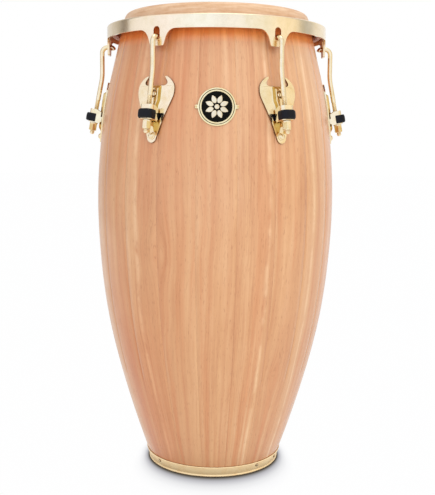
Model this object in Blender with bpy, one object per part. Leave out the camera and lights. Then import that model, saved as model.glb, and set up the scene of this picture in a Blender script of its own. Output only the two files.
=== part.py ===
"""Tall single-headed conga drum with six tuning stations, built as an assembly.

Frame: +Z up, origin on the floor at the drum's axis, the badge faces -Y.
Azimuth 0 is the badge side; azimuth grows towards +X seen from above.
All dimensions below are in millimetres and are turned into metres by MM.
"""
import math
import bpy
import bmesh
import numpy as np
from mathutils import Matrix, Vector

MM = 0.001

# ------------------------------------------------------------------ dimensions
HEIGHT = 762.0            # floor to playing surface (30 in drum)
GAP = 0.3                 # clearance between pieces that touch

# shell: outer template of the staves, height against radius
STAVE_TEMPLATE = ((0, 109.8), (60, 130.6), (130, 152.4), (250, 182.0), (370, 196.9),
                  (460, 200.0), (550, 194.6), (640, 180.9), (700, 166.7), (745, 157.0))
SHELL_WALL = 12.5         # stave thickness after turning
SHELL_SEGMENTS = 48

# drumhead
HEAD_THICK = 2.0
HEAD_FLAT_R = 143.3

# rim (tension hoop)
RIM_R = 182.6             # outer radius of the band
RIM_SHEET = 3.4
RIM_TOP = 740.0
RIM_BOTTOM = 719.2
RIM_FLANGE_R = 169.2      # inner edge of the top flange
EAR_BOTTOM = 694.5
EAR_HALF = 15.0           # half width of an ear
SLOT_HALF = 5.5
SLOT_TOP = 723.2
SADDLE_Z = 704.1          # top of the lip that the hook bears on

# flesh hoop with the hide lapped round it
HOOP_R = 172.0
HOOP_Z = 730.1
HOOP_SECTION = 6.2

# tuning hook
ROD_R = 3.95              # 5/16 in rod
HOOK_TOP_Z = 708.5
SHANK_R = 192.5           # upright part of the hook
LEAN = math.atan(0.2)     # lower shank leans outward going down
AXIS_R0, AXIS_Z0 = 207.69, 583.54   # where the shank axis meets the nut's seat
ROD_END = 19.8            # rod length below the seat

# lug bracket (cup), in its own frame: x outward, y across, s up along the shank
CUP_HALF = 10.8
CUP_FRONT = 8.8
CUP_WALL = 2.2
CUP_HEIGHT = 22.3
CUP_FLOOR = 3.0

# shell protector (rubber)
PAD_HALF = 12.3
PAD_FRONT = 13.8
PAD_LOW, PAD_HIGH = 1.4, 15.0
PAD_BACK = -2.6

# tuning nut
NUT_HEIGHT = 14.0
NUT_FLATS = 11.9
NUT_FLANGE_R = 6.9

# side plate
PLATE_SHEET = 2.5
PLATE_TIP_Z = 549.6
JAW_Z = 634.6
HORN_Z = 648.8
RIDGE_H = 4.5
BOLT_UP_Z = 622.2
BOLT_LOW_Z = 559.8
BOLT_R = 3.1

# badge
BADGE_Z = 603.3
BADGE_R = 28.6
BADGE_TAB = 33.0

# bottom band
BAND_H = 18.0
BAND_SHEET = 1.4

STATIONS = (("front_left", -30), ("front_right", 30), ("right", 90),
            ("back_right", 150), ("back_left", -150), ("left", -90))
BAND_SCREWS = (("front_left", -52), ("front_right", 39), ("right", 65), ("back", 180))

# ------------------------------------------------------------------ clean start
for old in list(bpy.data.objects):
    bpy.data.objects.remove(old, do_unlink=True)
for old in list(bpy.data.meshes):
    bpy.data.meshes.remove(old)


# ------------------------------------------------------------------ materials
def material(name, colour, rough, metal):
    m = bpy.data.materials.new(name)
    m.use_nodes = True
    b = m.node_tree.nodes["Principled BSDF"]
    b.inputs["Base Color"].default_value = (*colour, 1)
    b.inputs["Roughness"].default_value = rough
    b.inputs["Metallic"].default_value = metal
    m.diffuse_color = (*colour, 1)
    return m


WOOD = ("wood_shell", (0.70, 0.38, 0.23), 0.35, 0.0)
HIDE = ("hide", (0.84, 0.62, 0.38), 0.6, 0.0)
GOLD = ("gold_plate", (0.86, 0.72, 0.42), 0.22, 1.0)
SATIN = ("gold_satin", (0.72, 0.57, 0.30), 0.4, 1.0)
STEEL = ("steel", (0.6, 0.6, 0.6), 0.4, 1.0)
BLACK = ("rubber_black", (0.012, 0.012, 0.02), 0.7, 0.0)
ENAMEL = ("badge_gold", (0.80, 0.62, 0.28), 0.3, 1.0)


# ------------------------------------------------------------------ shape tools
def natural_spline(points):
    """Natural cubic spline through (x, y) points, returned as f(x, order)."""
    x = np.array([p[0] for p in points], float)
    y = np.array([p[1] for p in points], float)
    n = len(x)
    h = np.diff(x)
    A = np.eye(n)
    b = np.zeros(n)
    for i in range(1, n - 1):
        A[i, i - 1], A[i, i], A[i, i + 1] = h[i - 1], 2 * (h[i - 1] + h[i]), h[i]
        b[i] = 6 * ((y[i + 1] - y[i]) / h[i] - (y[i] - y[i - 1]) / h[i - 1])
    m = np.linalg.solve(A, b)

    def f(v, order=0):
        i = int(min(max(np.searchsorted(x, v) - 1, 0), n - 2))
        a, c, hh = x[i + 1] - v, v - x[i], h[i]
        if order == 0:
            return float(m[i] * a ** 3 / (6 * hh) + m[i + 1] * c ** 3 / (6 * hh)
                         + (y[i] / hh - m[i] * hh / 6) * a + (y[i + 1] / hh - m[i + 1] * hh / 6) * c)
        return float(-m[i] * a ** 2 / (2 * hh) + m[i + 1] * c ** 2 / (2 * hh)
                     + (y[i + 1] - y[i]) / hh - (m[i + 1] - m[i]) * hh / 6)
    return f


shell_r = natural_spline(STAVE_TEMPLATE)


def from_bmesh(name, bm):
    bmesh.ops.remove_doubles(bm, verts=bm.verts, dist=1e-7)
    bmesh.ops.recalc_face_normals(bm, faces=bm.faces)
    me = bpy.data.meshes.new(name)
    bm.to_mesh(me)
    bm.free()
    return me


def place(name, mesh, mat, loc=(0, 0, 0), turn=0.0, smooth=32):
    if not mesh.materials:
        key = mat[0]
        m = bpy.data.materials.get(key + "_" + mesh.name) or material(key + "_" + mesh.name, *mat[1:])
        mesh.materials.append(m)
    ob = bpy.data.objects.new(name, mesh)
    bpy.context.scene.collection.objects.link(ob)
    ob.location = loc
    ob.rotation_euler = (0, 0, turn)
    if smooth:
        mesh.shade_smooth()
        mesh.set_sharp_from_angle(angle=math.radians(smooth))
    return ob


def cutter(name, mesh):
    ob = bpy.data.objects.new(name, mesh)
    bpy.context.scene.collection.objects.link(ob)
    ob.hide_render = True
    ob.display_type = 'WIRE'
    return ob


def bake(name, mesh, *steps):
    """Apply boolean steps (operation, mesh) to a mesh and return the result."""
    ob = bpy.data.objects.new(name + "_blank", mesh)
    bpy.context.scene.collection.objects.link(ob)
    tools = []
    for k, (op, tool_mesh) in enumerate(steps):
        t = bpy.data.objects.new("%s_tool_%d" % (name, k), tool_mesh)
        bpy.context.scene.collection.objects.link(t)
        tools.append(t)
        mod = ob.modifiers.new("step%d" % k, 'BOOLEAN')
        mod.operation = op
        mod.solver = 'EXACT'
        mod.object = t
    dg = bpy.context.evaluated_depsgraph_get()
    dg.update()
    out = bpy.data.meshes.new_from_object(ob.evaluated_get(dg))
    out.name = name
    bpy.data.objects.remove(ob, do_unlink=True)
    for t in tools:
        bpy.data.objects.remove(t, do_unlink=True)
    out.materials.clear()
    bm = bmesh.new()
    bm.from_mesh(out)
    bmesh.ops.remove_doubles(bm, verts=bm.verts, dist=1e-6)
    bmesh.ops.dissolve_degenerate(bm, edges=bm.edges, dist=1e-6)
    bm.to_mesh(out)
    bm.free()
    return out


def lathe(name, profile, segments, closed=True, start=0.0):
    """Turn an (r, z) profile in mm about the Z axis; a closed loop or pole to pole."""
    bm = bmesh.new()
    rings = []
    for r, z in profile:
        if r < 1e-6:
            rings.append([bm.verts.new((0, 0, z * MM))])
        else:
            rings.append([bm.verts.new((r * MM * math.cos(start + 2 * math.pi * i / segments),
                                        r * MM * math.sin(start + 2 * math.pi * i / segments), z * MM))
                          for i in range(segments)])
    pairs = list(zip(rings, rings[1:])) + ([(rings[-1], rings[0])] if closed else [])
    for a, b in pairs:
        for i in range(segments):
            j = (i + 1) % segments
            if len(a) == 1 and len(b) == 1:
                continue
            if len(a) == 1:
                bm.faces.new((a[0], b[i], b[j]))
            elif len(b) == 1:
                bm.faces.new((a[i], a[j], b[0]))
            else:
                bm.faces.new((a[i], a[j], b[j], b[i]))
    return from_bmesh(name, bm)


def on_axis(mesh, origin, direction):
    """Move a mesh made about +Z so that its Z axis runs along direction from origin (mm)."""
    d = Vector(direction).normalized()
    q = Vector((0, 0, 1)).rotation_difference(d)
    mesh.transform(Matrix.Translation(Vector(origin) * MM) @ q.to_matrix().to_4x4())
    return mesh


def sheet(name, columns, rows, point, present, wrap=False):
    """Curved sheet with holes: a grid of cells, front and back face, walls on every free edge."""
    bm = bmesh.new()
    nr, nc = rows, columns
    front, back = {}, {}
    for j in range(nr):
        for i in range(nc):
            front[i, j] = bm.verts.new(Vector(point(i, j, False)) * MM)
            back[i, j] = bm.verts.new(Vector(point(i, j, True)) * MM)
    edges = {}
    for j in range(nr - 1):
        for i in range(nc if wrap else nc - 1):
            if not present(i, j):
                continue
            q = (i + 1) % nc
            c = [(i, j), (q, j), (q, j + 1), (i, j + 1)]
            bm.faces.new([front[k] for k in c])
            bm.faces.new([back[k] for k in reversed(c)])
            for a, b in zip(c, c[1:] + c[:1]):
                edges[frozenset((a, b))] = edges.get(frozenset((a, b)), []) + [(a, b)]
    for uses in edges.values():
        if len(uses) == 1:
            a, b = uses[0]
            bm.faces.new((front[b], front[a], back[a], back[b]))
    for v in [v for v in bm.verts if not v.link_faces]:
        bm.verts.remove(v)
    return from_bmesh(name, bm)


def extrude_outline(name, outline, base, vec):
    """Prism: outline is a list of 3-D points (mm) on a plane, extruded along vec (mm)."""
    bm = bmesh.new()
    a = [bm.verts.new(Vector(p) * MM) for p in outline]
    b = [bm.verts.new((Vector(p) + Vector(vec)) * MM) for p in outline]
    bm.faces.new(a)
    bm.faces.new(list(reversed(b)))
    n = len(a)
    for i in range(n):
        bm.faces.new((a[i], b[i], b[(i + 1) % n], a[(i + 1) % n]))
    return from_bmesh(name, bm)


# ------------------------------------------------------------------ shell
def wall_in(z):
    """Inner radius of the shell at height z."""
    slope = shell_r(z, 1)
    return shell_r(z) - SHELL_WALL * math.sqrt(1 + slope * slope)


shell_profile = [(shell_r(0) - 0.8, 0.0), (shell_r(2), 2.0)]
shell_profile += [(shell_r(z), z) for z in (18.5, 70, 130, 190, 250, 310, 370, 430, 490, 545, 590,
                                            626, 660, 695, 722)]
shell_profile += [(155.6, 738), (152.4, 748), (149.4, 755), (145.4, 758.9), (140.6, 752)]
shell_profile += [(wall_in(z), z) for z in (715, 665, 636, 610, 585, 560, 535, 450, 340, 220, 110)]
shell_profile += [(shell_r(0) - SHELL_WALL, 0.0)]
shell = place("shell", lathe("shell", shell_profile, SHELL_SEGMENTS, start=math.radians(-90)), WOOD)

# ------------------------------------------------------------------ drumhead
head_profile = [(0, HEIGHT), (HEAD_FLAT_R, HEIGHT), (147.5, 761.0), (151.4, 757.8), (154.2, 752.2),
                (157.6, 741), (164.4, 723.6), (shell_r(723.4) + GAP + 0.15, 723.4),
                (156.2, 738), (152.95, 748.2), (150.0, 755.4), (145.5, 759.4), (0, 760.0)]
head = place("drumhead", lathe("drumhead", head_profile, 48, closed=False), HIDE)

# ------------------------------------------------------------------ flesh hoop
hoop_profile = [(HOOP_R + HOOP_SECTION * math.cos(a), HOOP_Z + HOOP_SECTION * math.sin(a))
                for a in [2 * math.pi * (k + 0.5) / 8 for k in range(8)]]
place("flesh_hoop", lathe("flesh_hoop", hoop_profile, 48), STEEL)

# ------------------------------------------------------------------ rim
STATION_ARC = 2 * math.pi * RIM_R / 6
half_cols = [0, SLOT_HALF, 12.0, EAR_HALF, 18.6, 24.0, 31.0]
half_low = [EAR_BOTTOM, EAR_BOTTOM, EAR_BOTTOM + 0.6, EAR_BOTTOM + 7.5, 712.0, 717.4, RIM_BOTTOM]
arcs = [-u for u in reversed(half_cols[1:])] + half_cols
lows = [z for z in reversed(half_low[1:])] + half_low
gap_cols = 5
for k in range(1, gap_cols):
    arcs.append(31.0 + (STATION_ARC - 62.0) * k / gap_cols)
    lows.append(RIM_BOTTOM)
N_ST = len(arcs)


def rim_point(i, j, inner):
    k = i % N_ST
    st = (i // N_ST) % 6
    ang = math.radians(30 + 60 * st) + arcs[k] / RIM_R
    u, low = abs(arcs[k]), lows[k]
    t = RIM_SHEET if inner else 0.0
    if u <= SLOT_HALF + 0.01:
        top = SLOT_TOP if u < 0.1 else SLOT_TOP - 4.2
        sad = SADDLE_Z if u < 0.1 else SADDLE_Z + 0.9
    elif u <= EAR_HALF + 0.01:
        top, sad = SLOT_TOP - 4.2, SADDLE_Z + 0.9
        sad = max(sad, low + 2.5)
    else:
        span = RIM_TOP - 3.0 - low
        top, sad = low + span * 0.66, low + span * 0.33
    section = [(RIM_FLANGE_R, RIM_TOP - t), (RIM_R - 2.4 - 0.5 * t, RIM_TOP - t),
               (RIM_R - t, RIM_TOP - 2.4 - 0.5 * t if inner else RIM_TOP - 2.4),
               (RIM_R - t, top), (RIM_R - t, sad), (RIM_R - t, low)]
    r, z = section[j]
    return (r * math.sin(ang), -r * math.cos(ang), z)


def rim_present(i, j):
    k = i % N_ST
    a, b = arcs[k], arcs[(k + 1) % N_ST] if k + 1 < N_ST else 1e9
    return not (j == 3 and abs(a) <= SLOT_HALF + 0.01 and abs(b) <= SLOT_HALF + 0.01)


rim_mesh = sheet("rim", 6 * N_ST, 6, rim_point, rim_present, wrap=True)
place("rim", rim_mesh, GOLD, smooth=40)

# ------------------------------------------------------------------ bottom band
band_out = lambda z: shell_r(z) + GAP + BAND_SHEET
band_profile = [(shell_r(0) + 0.1, 0.0), (band_out(0) + 1.7, 0.0), (band_out(0) + 1.9, 2.2),
                (band_out(3.6), 4.0), (band_out(BAND_H), BAND_H), (shell_r(BAND_H) + GAP + 0.12, BAND_H),
                (shell_r(2.0) + GAP + 0.12, 2.0)]
band = place("bottom_band", lathe("bottom_band", band_profile, SHELL_SEGMENTS, start=math.radians(-90)), SATIN)

# ------------------------------------------------------------------ station pieces
# Modelled at azimuth 0: outward is -Y, across is +X. They are turned about Z into place.
def L(r, t, z):
    return (t, -r, z)


def surf(z, off, u):
    """Point at arc u and height z on the shell, off mm outside it, measured square to the wall."""
    s = shell_r(z, 1)
    c = math.sqrt(1 + s * s)
    r, zz = shell_r(z) + off / c, z - off * s / c
    a = u / shell_r(z)
    return (r * math.sin(a), -r * math.cos(a), zz)


def bolt_dir(z):
    s = shell_r(z, 1)
    c = math.sqrt(1 + s * s)
    return L(1 / c, 0, -s / c)


def bolt_point(z, off):
    return surf(z, off, 0)


# side plate: heart shaped, two horns over an open jaw, raised channel down the middle
PLATE_ROWS = (PLATE_TIP_Z, 552.2, 558.0, 567.0, 575.0, 583.2, 595.2, 606.0, 614.3,
              617.2, 627.2, 630.6, JAW_Z, 641.0, 645.8, HORN_Z)


def plate_half(z):
    pts = ((549.6, 1.6), (551.6, 5.2), (555.6, 7.9), (562.5, 10.2), (570, 12.9), (583, 17.8), (595, 22.4),
           (607, 27.3), (618, 30.6), (627, 31.8), (634, 31.3), (640, 27.8), (645.2, 21.8), (648.8, 16.8))
    for (z0, w0), (z1, w1) in zip(pts, pts[1:]):
        if z <= z1:
            return w0 + (w1 - w0) * (z - z0) / (z1 - z0)
    return pts[-1][1]


def horn_inner(z):
    pts = ((JAW_Z, 21.0), (640.0, 19.3), (645.2, 16.2), (HORN_Z, 14.6))
    for (z0, w0), (z1, w1) in zip(pts, pts[1:]):
        if z <= z1:
            return w0 + (w1 - w0) * (z - z0) / (z1 - z0)
    return pts[-1][1]


def ridge_cols(z):
    """Half widths of the channel's base and top at height z."""
    k = min(max((z - 606.0) / (614.0 - 606.0), 0), 1)
    base, top = 8.1 + 2.9 * k, 5.0 + 2.5 * k
    w = plate_half(z)
    return min(base, 0.62 * w), min(top, 0.42 * w)


def ridge_height(z):
    if z >= JAW_Z - 0.01 or z <= 567.0:
        return 0.0
    return RIDGE_H * min(1.0, (JAW_Z - z) / 4.0, (z - 567.0) / 8.0)


def plate_point(i, j, inner):
    z = PLATE_ROWS[j]
    w = plate_half(z)
    base, top = ridge_cols(z)
    if z > JAW_Z - 0.01:
        hi = horn_inner(z)
        cols = [-w, -(w + hi) / 2, -hi, -top, -4.9, 4.9, top, hi, (w + hi) / 2, w]
    else:
        edge = max(w - 2.3, 0.86 * w)
        cols = [-w, -edge, -base, -top, -min(4.9, 0.66 * top), min(4.9, 0.66 * top), top, base, edge, w]
    u = cols[i]
    h = 0.0
    if 3 <= i <= 6 and z < JAW_Z:
        h = ridge_height(z)
        if i in (4, 5) and 617.0 < z < 627.4:
            h = 0.0
    return surf(z, GAP + h + (0.0 if inner else PLATE_SHEET), u)


def plate_present(i, j):
    z = PLATE_ROWS[j]
    if z >= JAW_Z - 0.01:
        return i in (0, 1, 7, 8)
    if abs(z - 583.2) < 0.01:
        return i not in (1, 7)
    return True


def drill(z, radius, deep, out, sides=8):
    m = lathe("drill", [(0, -deep), (radius, -deep), (radius, out), (0, out)], sides, closed=False)
    return on_axis(m, bolt_point(z, 0), bolt_dir(z))


plate_mesh = sheet("side_plate", 10, len(PLATE_ROWS), plate_point, plate_present)
plate_mesh = bake("side_plate", plate_mesh,
                  ('DIFFERENCE', drill(BOLT_UP_Z, BOLT_R + 0.3, 4, 12)),
                  ('DIFFERENCE', drill(BOLT_LOW_Z, BOLT_R + 0.3, 4, 12)))

# lug bracket: a cup open at the top, its arms pass through the plate's windows
AX = Vector(L(-math.sin(LEAN), 0, math.cos(LEAN)))        # up along the shank
AO = Vector(L(math.cos(LEAN), 0, math.sin(LEAN)))         # outward, square to the shank
SEAT = Vector(L(AXIS_R0, 0, AXIS_Z0))


def C(x, y, s):
    return SEAT + AO * x + Vector((1, 0, 0)) * y + AX * s


def u_line(half, front, back, corner, n=3):
    """Plan of the cup: straight arms and a front with round corners, (x, y) points."""
    pts = [(back, -half), (front - corner, -half)]
    pts += [(front - corner + corner * math.sin(a), -half + corner - corner * math.cos(a))
            for a in [math.pi / 2 * k / n for k in range(1, n + 1)]]
    return pts + [(x, -y) for x, y in reversed(pts)]


def u_solid(name, outer, inner, lo, hi):
    pts = outer + list(reversed(inner))
    return extrude_outline(name, [C(x, y, lo) for x, y in pts], None, AX * (hi - lo))


cup_out = u_line(CUP_HALF, CUP_FRONT, -13.4, 5.5)
cup_in = u_line(CUP_HALF - CUP_WALL, CUP_FRONT - CUP_WALL, -13.4, 3.4)
cup_walls = u_solid("cup", cup_out, cup_in, 0.0, CUP_HEIGHT)
floor_plan = [p for p in u_line(CUP_HALF - 0.9, CUP_FRONT - 0.9, -6.8, 4.6)]
cup_floor = extrude_outline("cup_floor", [C(x, y, 0.0) for x, y in floor_plan], None, AX * CUP_FLOOR)
trim_top = extrude_outline("trim", [C(-16, -14, 11.2), C(-10.95, -14, 11.2), C(-10.3, -14, 26), C(-16, -14, 26)],
                           None, (28, 0, 0))
trim_low = extrude_outline("trim", [C(-16, -14, -3), C(-11.2, -14, -3), C(-11.2, -14, 2.5), C(-16, -14, 2.9)],
                           None, (28, 0, 0))
rod_hole = lathe("rod_hole", [(0, -2), (ROD_R + 0.6, -2), (ROD_R + 0.6, 6), (0, 6)], 12, closed=False)
on_axis(rod_hole, SEAT, AX)
cup_mesh = bake("lug_bracket", cup_walls, ('UNION', cup_floor), ('DIFFERENCE', trim_top),
                ('DIFFERENCE', trim_low), ('DIFFERENCE', rod_hole))

# shell protector: rubber bumper that hugs the cup's front
pad_mesh = u_solid("shell_protector", u_line(PAD_HALF, PAD_FRONT, PAD_BACK, 8.4),
                   u_line(CUP_HALF + GAP, CUP_FRONT + GAP, PAD_BACK, 5.7), PAD_LOW, PAD_HIGH)


# bolts: domed head on a shank that runs through the shell into the backing plate
def bolt(name, z, head_r, head_h, seat, length, sides=10):
    shank = BOLT_R - 0.05
    prof = [(0, seat + head_h), (head_r * 0.62, seat + head_h * 0.86), (head_r, seat + head_h * 0.3),
            (head_r, seat), (shank, seat), (shank, seat - length), (0, seat - length)]
    return on_axis(lathe(name, prof, sides, closed=False), bolt_point(z, 0), bolt_dir(z))


INNER_OFF = SHELL_WALL + GAP + 0.6    # the backing plate lies on the turned bore
upper_bolt = bolt("upper_bolt", BOLT_UP_Z, 4.6, 3.3, GAP + PLATE_SHEET + 0.35, 25.0)
lower_bolt = bolt("lower_bolt", BOLT_LOW_Z, 5.8, 4.0, GAP + PLATE_SHEET + 0.35, 25.0)

# backing plate inside the shell, its two nuts welded on
BACK_ROWS = (548.0, 572.0, 598.0, 618.0, 634.0)


def back_point(i, j, inner):
    z = BACK_ROWS[j]
    return surf(z, -(INNER_OFF + (0.0 if inner else 2.5)), (-11.0, -3.7, 3.7, 11.0)[i])


back_mesh = sheet("backing_plate", 4, len(BACK_ROWS), back_point, lambda i, j: True)


def hexnut(z):
    m = lathe("weld_nut", [(0, -INNER_OFF - 7.5), (7.0, -INNER_OFF - 7.5), (7.0, -INNER_OFF - 1.5),
                           (0, -INNER_OFF - 1.5)], 6, closed=False)
    return on_axis(m, bolt_point(z, 0), bolt_dir(z))


back_mesh = bake("backing_plate", back_mesh, ('UNION', hexnut(BOLT_UP_Z)), ('UNION', hexnut(BOLT_LOW_Z)),
                 ('DIFFERENCE', drill(BOLT_UP_Z, BOLT_R + 0.25, 30, 4)),
                 ('DIFFERENCE', drill(BOLT_LOW_Z, BOLT_R + 0.25, 30, 4)))


# tuning hook: leaning shank, upright, bend over the ear's lip, short tip inside
def hook_path():
    """(r, z) points from the rod's lower end to the hook's tip."""
    sn, cs = math.sin(LEAN), math.cos(LEAN)
    at = lambda s: (AXIS_R0 - sn * s, AXIS_Z0 + cs * s)
    knee_s = (AXIS_R0 - SHANK_R) / sn
    knee = at(knee_s)
    pts = [at(-ROD_END), at(-ROD_END + 2.6), at(10), at(knee_s - 7.0)]
    pts += [(SHANK_R + 0.25, knee[1] + 0.3), (SHANK_R, knee[1] + 7.0)]
    bend = 9.5
    zc = HOOK_TOP_Z - bend
    pts += [(SHANK_R - bend + bend * math.cos(a), zc + bend * math.sin(a))
            for a in [math.pi / 2 * k / 4 for k in range(5)]]
    pts += [(178.2, HOOK_TOP_Z)]
    pts += [(178.2 - 5.2 * math.sin(a), HOOK_TOP_Z - 5.2 + 5.2 * math.cos(a)) for a in (0.5, 1.0, 1.35)]
    return pts


def tube(name, path, radii, sides):
    bm = bmesh.new()
    rings = []
    n = len(path)
    for k, (r, z) in enumerate(path):
        a = path[max(k - 1, 0)]
        b = path[min(k + 1, n - 1)]
        if 0 < k < n - 1:
            d1 = Vector((r - a[0], z - a[1])).normalized()
            d2 = Vector((b[0] - r, b[1] - z)).normalized()
            d = (d1 + d2).normalized()
        else:
            d = Vector((b[0] - a[0], b[1] - a[1])).normalized()
        nx = Vector((-d.y, d.x))
        ring = []
        for s in range(sides):
            ph = 2 * math.pi * (s + 0.5) / sides
            off = radii[k] * math.cos(ph)
            ring.append(bm.verts.new(Vector(L(r + nx.x * off, radii[k] * math.sin(ph), z + nx.y * off)) * MM))
        rings.append(ring)
    for a, b in zip(rings, rings[1:]):
        for s in range(sides):
            q = (s + 1) % sides
            bm.faces.new((a[s], a[q], b[q], b[s]))
    bm.faces.new(rings[0])
    bm.faces.new(rings[-1])
    return from_bmesh(name, bm)


path = hook_path()
radii = [2.4] + [ROD_R] * (len(path) - 2) + [ROD_R - 0.9]
hook_mesh = tube("tuning_hook", path, radii, 8)
hook_mesh.transform(Matrix.Translation(-SEAT * MM))

# tuning nut: flange against the seat, hexagon body, through bore for the rod
bore = ROD_R + 0.3
nut_body = lathe("tuning_nut", [(bore, -GAP), (NUT_FLANGE_R, -GAP), (NUT_FLANGE_R, -2.2),
                                (6.25, -3.0), (6.25, -NUT_HEIGHT + 1.2), (5.6, -NUT_HEIGHT), (bore, -NUT_HEIGHT)], 12)
nut_mesh = on_axis(nut_body, (0, 0, 0), AX)

# ------------------------------------------------------------------ place the six stations
for label, az in STATIONS:
    turn = math.radians(az)
    axis_point = Matrix.Rotation(turn, 3, 'Z') @ (SEAT * MM)
    place("side_plate_" + label, plate_mesh, GOLD, turn=turn)
    place("lug_bracket_" + label, cup_mesh, GOLD, turn=turn)
    place("shell_protector_" + label, pad_mesh, BLACK, turn=turn)
    place("upper_bolt_" + label, upper_bolt, GOLD, turn=turn)
    place("lower_bolt_" + label, lower_bolt, GOLD, turn=turn)
    place("backing_plate_" + label, back_mesh, STEEL, turn=turn)
    place("tuning_hook_" + label, hook_mesh, GOLD, loc=axis_point, turn=turn)
    place("tuning_nut_" + label, nut_mesh, GOLD, loc=axis_point, turn=turn)

# ------------------------------------------------------------------ badge
def badge_grid():
    """Round plate with a small tab on each side, made as rings so that it can hug the shell."""
    bm = bmesh.new()
    n = 40
    layers = {}
    for side, off in (("back", GAP), ("front", GAP + 1.6)):
        centre = bm.verts.new(Vector(surf(BADGE_Z, off, 0)) * MM)
        rings = []
        for rr in (15.0, BADGE_R):
            ring = []
            for k in range(n):
                a = 2 * math.pi * k / n
                x, y = rr * math.cos(a), rr * math.sin(a)
                if rr == BADGE_R and k in (0, 1, n - 1):
                    x, y = BADGE_TAB - 1.2 * abs(math.sin(a)) / math.sin(2 * math.pi / n), 3.0 * math.sin(a) / math.sin(2 * math.pi / n)
                if rr == BADGE_R and k in (n // 2, n // 2 + 1, n // 2 - 1):
                    x, y = -BADGE_TAB + 1.2 * abs(math.sin(a)) / math.sin(2 * math.pi / n), 3.0 * math.sin(a) / math.sin(2 * math.pi / n)
                ring.append(bm.verts.new(Vector(surf(BADGE_Z + y, off, x)) * MM))
            rings.append(ring)
        for k in range(n):
            q = (k + 1) % n
            bm.faces.new((centre, rings[0][k], rings[0][q]))
            for a, b in zip(rings, rings[1:]):
                bm.faces.new((a[k], b[k], b[q], a[q]))
        layers[side] = rings[-1]
    for k in range(n):
        q = (k + 1) % n
        bm.faces.new((layers["back"][k], layers["front"][k], layers["front"][q], layers["back"][q]))
    return from_bmesh("badge", bm)


def side_frame(z, u):
    p = Vector(surf(z, 0, u))
    a = u / shell_r(z)
    s = shell_r(z, 1)
    c = math.sqrt(1 + s * s)
    return p, Vector((math.sin(a) / c, -math.cos(a) / c, -s / c))


def peg(name, z, u, head_r, head_h, seat, shank, length, sides=10):
    prof = [(0, seat + head_h), (head_r * 0.7, seat + head_h * 0.8), (head_r, seat), (shank, seat),
            (shank, seat - length), (0, seat - length)]
    p, d = side_frame(z, u)
    return on_axis(lathe(name, prof, sides, closed=False), p, d)


PIN_U = 30.8
pin_holes = []
for u in (-PIN_U, PIN_U):
    p, d = side_frame(BADGE_Z, u)
    pin_holes.append(on_axis(lathe("pin_hole", [(0, -8), (0.95, -8), (0.95, 6), (0, 6)], 8, closed=False), p, d))
badge_mesh = bake("badge", badge_grid(), ('DIFFERENCE', pin_holes[0]), ('DIFFERENCE', pin_holes[1]))
place("badge", badge_mesh, ENAMEL)
for label, u in (("left", -PIN_U), ("right", PIN_U)):
    place("badge_pin_" + label, peg("badge_pin_" + label, BADGE_Z, u, 1.7, 1.0, GAP + 1.6 + 0.25, 0.65, 7.0, 8), GOLD)

# ------------------------------------------------------------------ band screws
SCREW_Z = 13.0
screw_mesh = peg("band_screw", SCREW_Z, 0, 2.9, 1.3, GAP + BAND_SHEET + 0.35, 1.3, 10.5, 10)
for label, az in BAND_SCREWS:
    place("band_screw_" + label, screw_mesh, SATIN, turn=math.radians(az))


# ------------------------------------------------------------------ holes in shell and band
def merge(name, meshes):
    bm = bmesh.new()
    for me, turn in meshes:
        copy = me.copy()
        copy.transform(Matrix.Rotation(turn, 4, 'Z'))
        bm.from_mesh(copy)
        bpy.data.meshes.remove(copy)
    me = bpy.data.meshes.new(name)
    bm.to_mesh(me)
    bm.free()
    return me


holes = []
for label, az in STATIONS:
    for z in (BOLT_UP_Z, BOLT_LOW_Z):
        holes.append((drill(z, BOLT_R + 0.3, SHELL_WALL + 6, 4, 8), math.radians(az)))
for u in (-PIN_U, PIN_U):
    p, d = side_frame(BADGE_Z, u)
    holes.append((on_axis(lathe("pin_hole", [(0, -6.5), (0.95, -6.5), (0.95, 3), (0, 3)], 6, closed=False), p, d), 0.0))
p, d = side_frame(SCREW_Z, 0)
shell_screw = on_axis(lathe("screw_hole", [(0, -9.6), (1.65, -9.6), (1.65, 6), (0, 6)], 6, closed=False), p, d)
for label, az in BAND_SCREWS:
    holes.append((shell_screw, math.radians(az)))
shell_cut = cutter("shell_drill", merge("shell_drill", holes))
mod = shell.modifiers.new("bolt_holes", 'BOOLEAN')
mod.operation, mod.solver, mod.object = 'DIFFERENCE', 'EXACT', shell_cut

band_hole = on_axis(lathe("band_hole", [(0, -2), (1.65, -2), (1.65, 6), (0, 6)], 8, closed=False), p, d)
band_cut = cutter("band_drill", merge("band_drill", [(band_hole, math.radians(az)) for _, az in BAND_SCREWS]))
mod = band.modifiers.new("screw_holes", 'BOOLEAN')
mod.operation, mod.solver, mod.object = 'DIFFERENCE', 'EXACT', band_cut
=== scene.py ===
"""Looks of the conga drum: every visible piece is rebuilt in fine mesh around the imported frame.

Frame: metres, +Z up, origin on the floor at the drum's axis, badge towards -Y.
Piece dimensions are in millimetres and are turned into metres by MM.
"""
import math
import bpy
import bmesh
import numpy as np
from mathutils import Matrix, Vector


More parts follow.
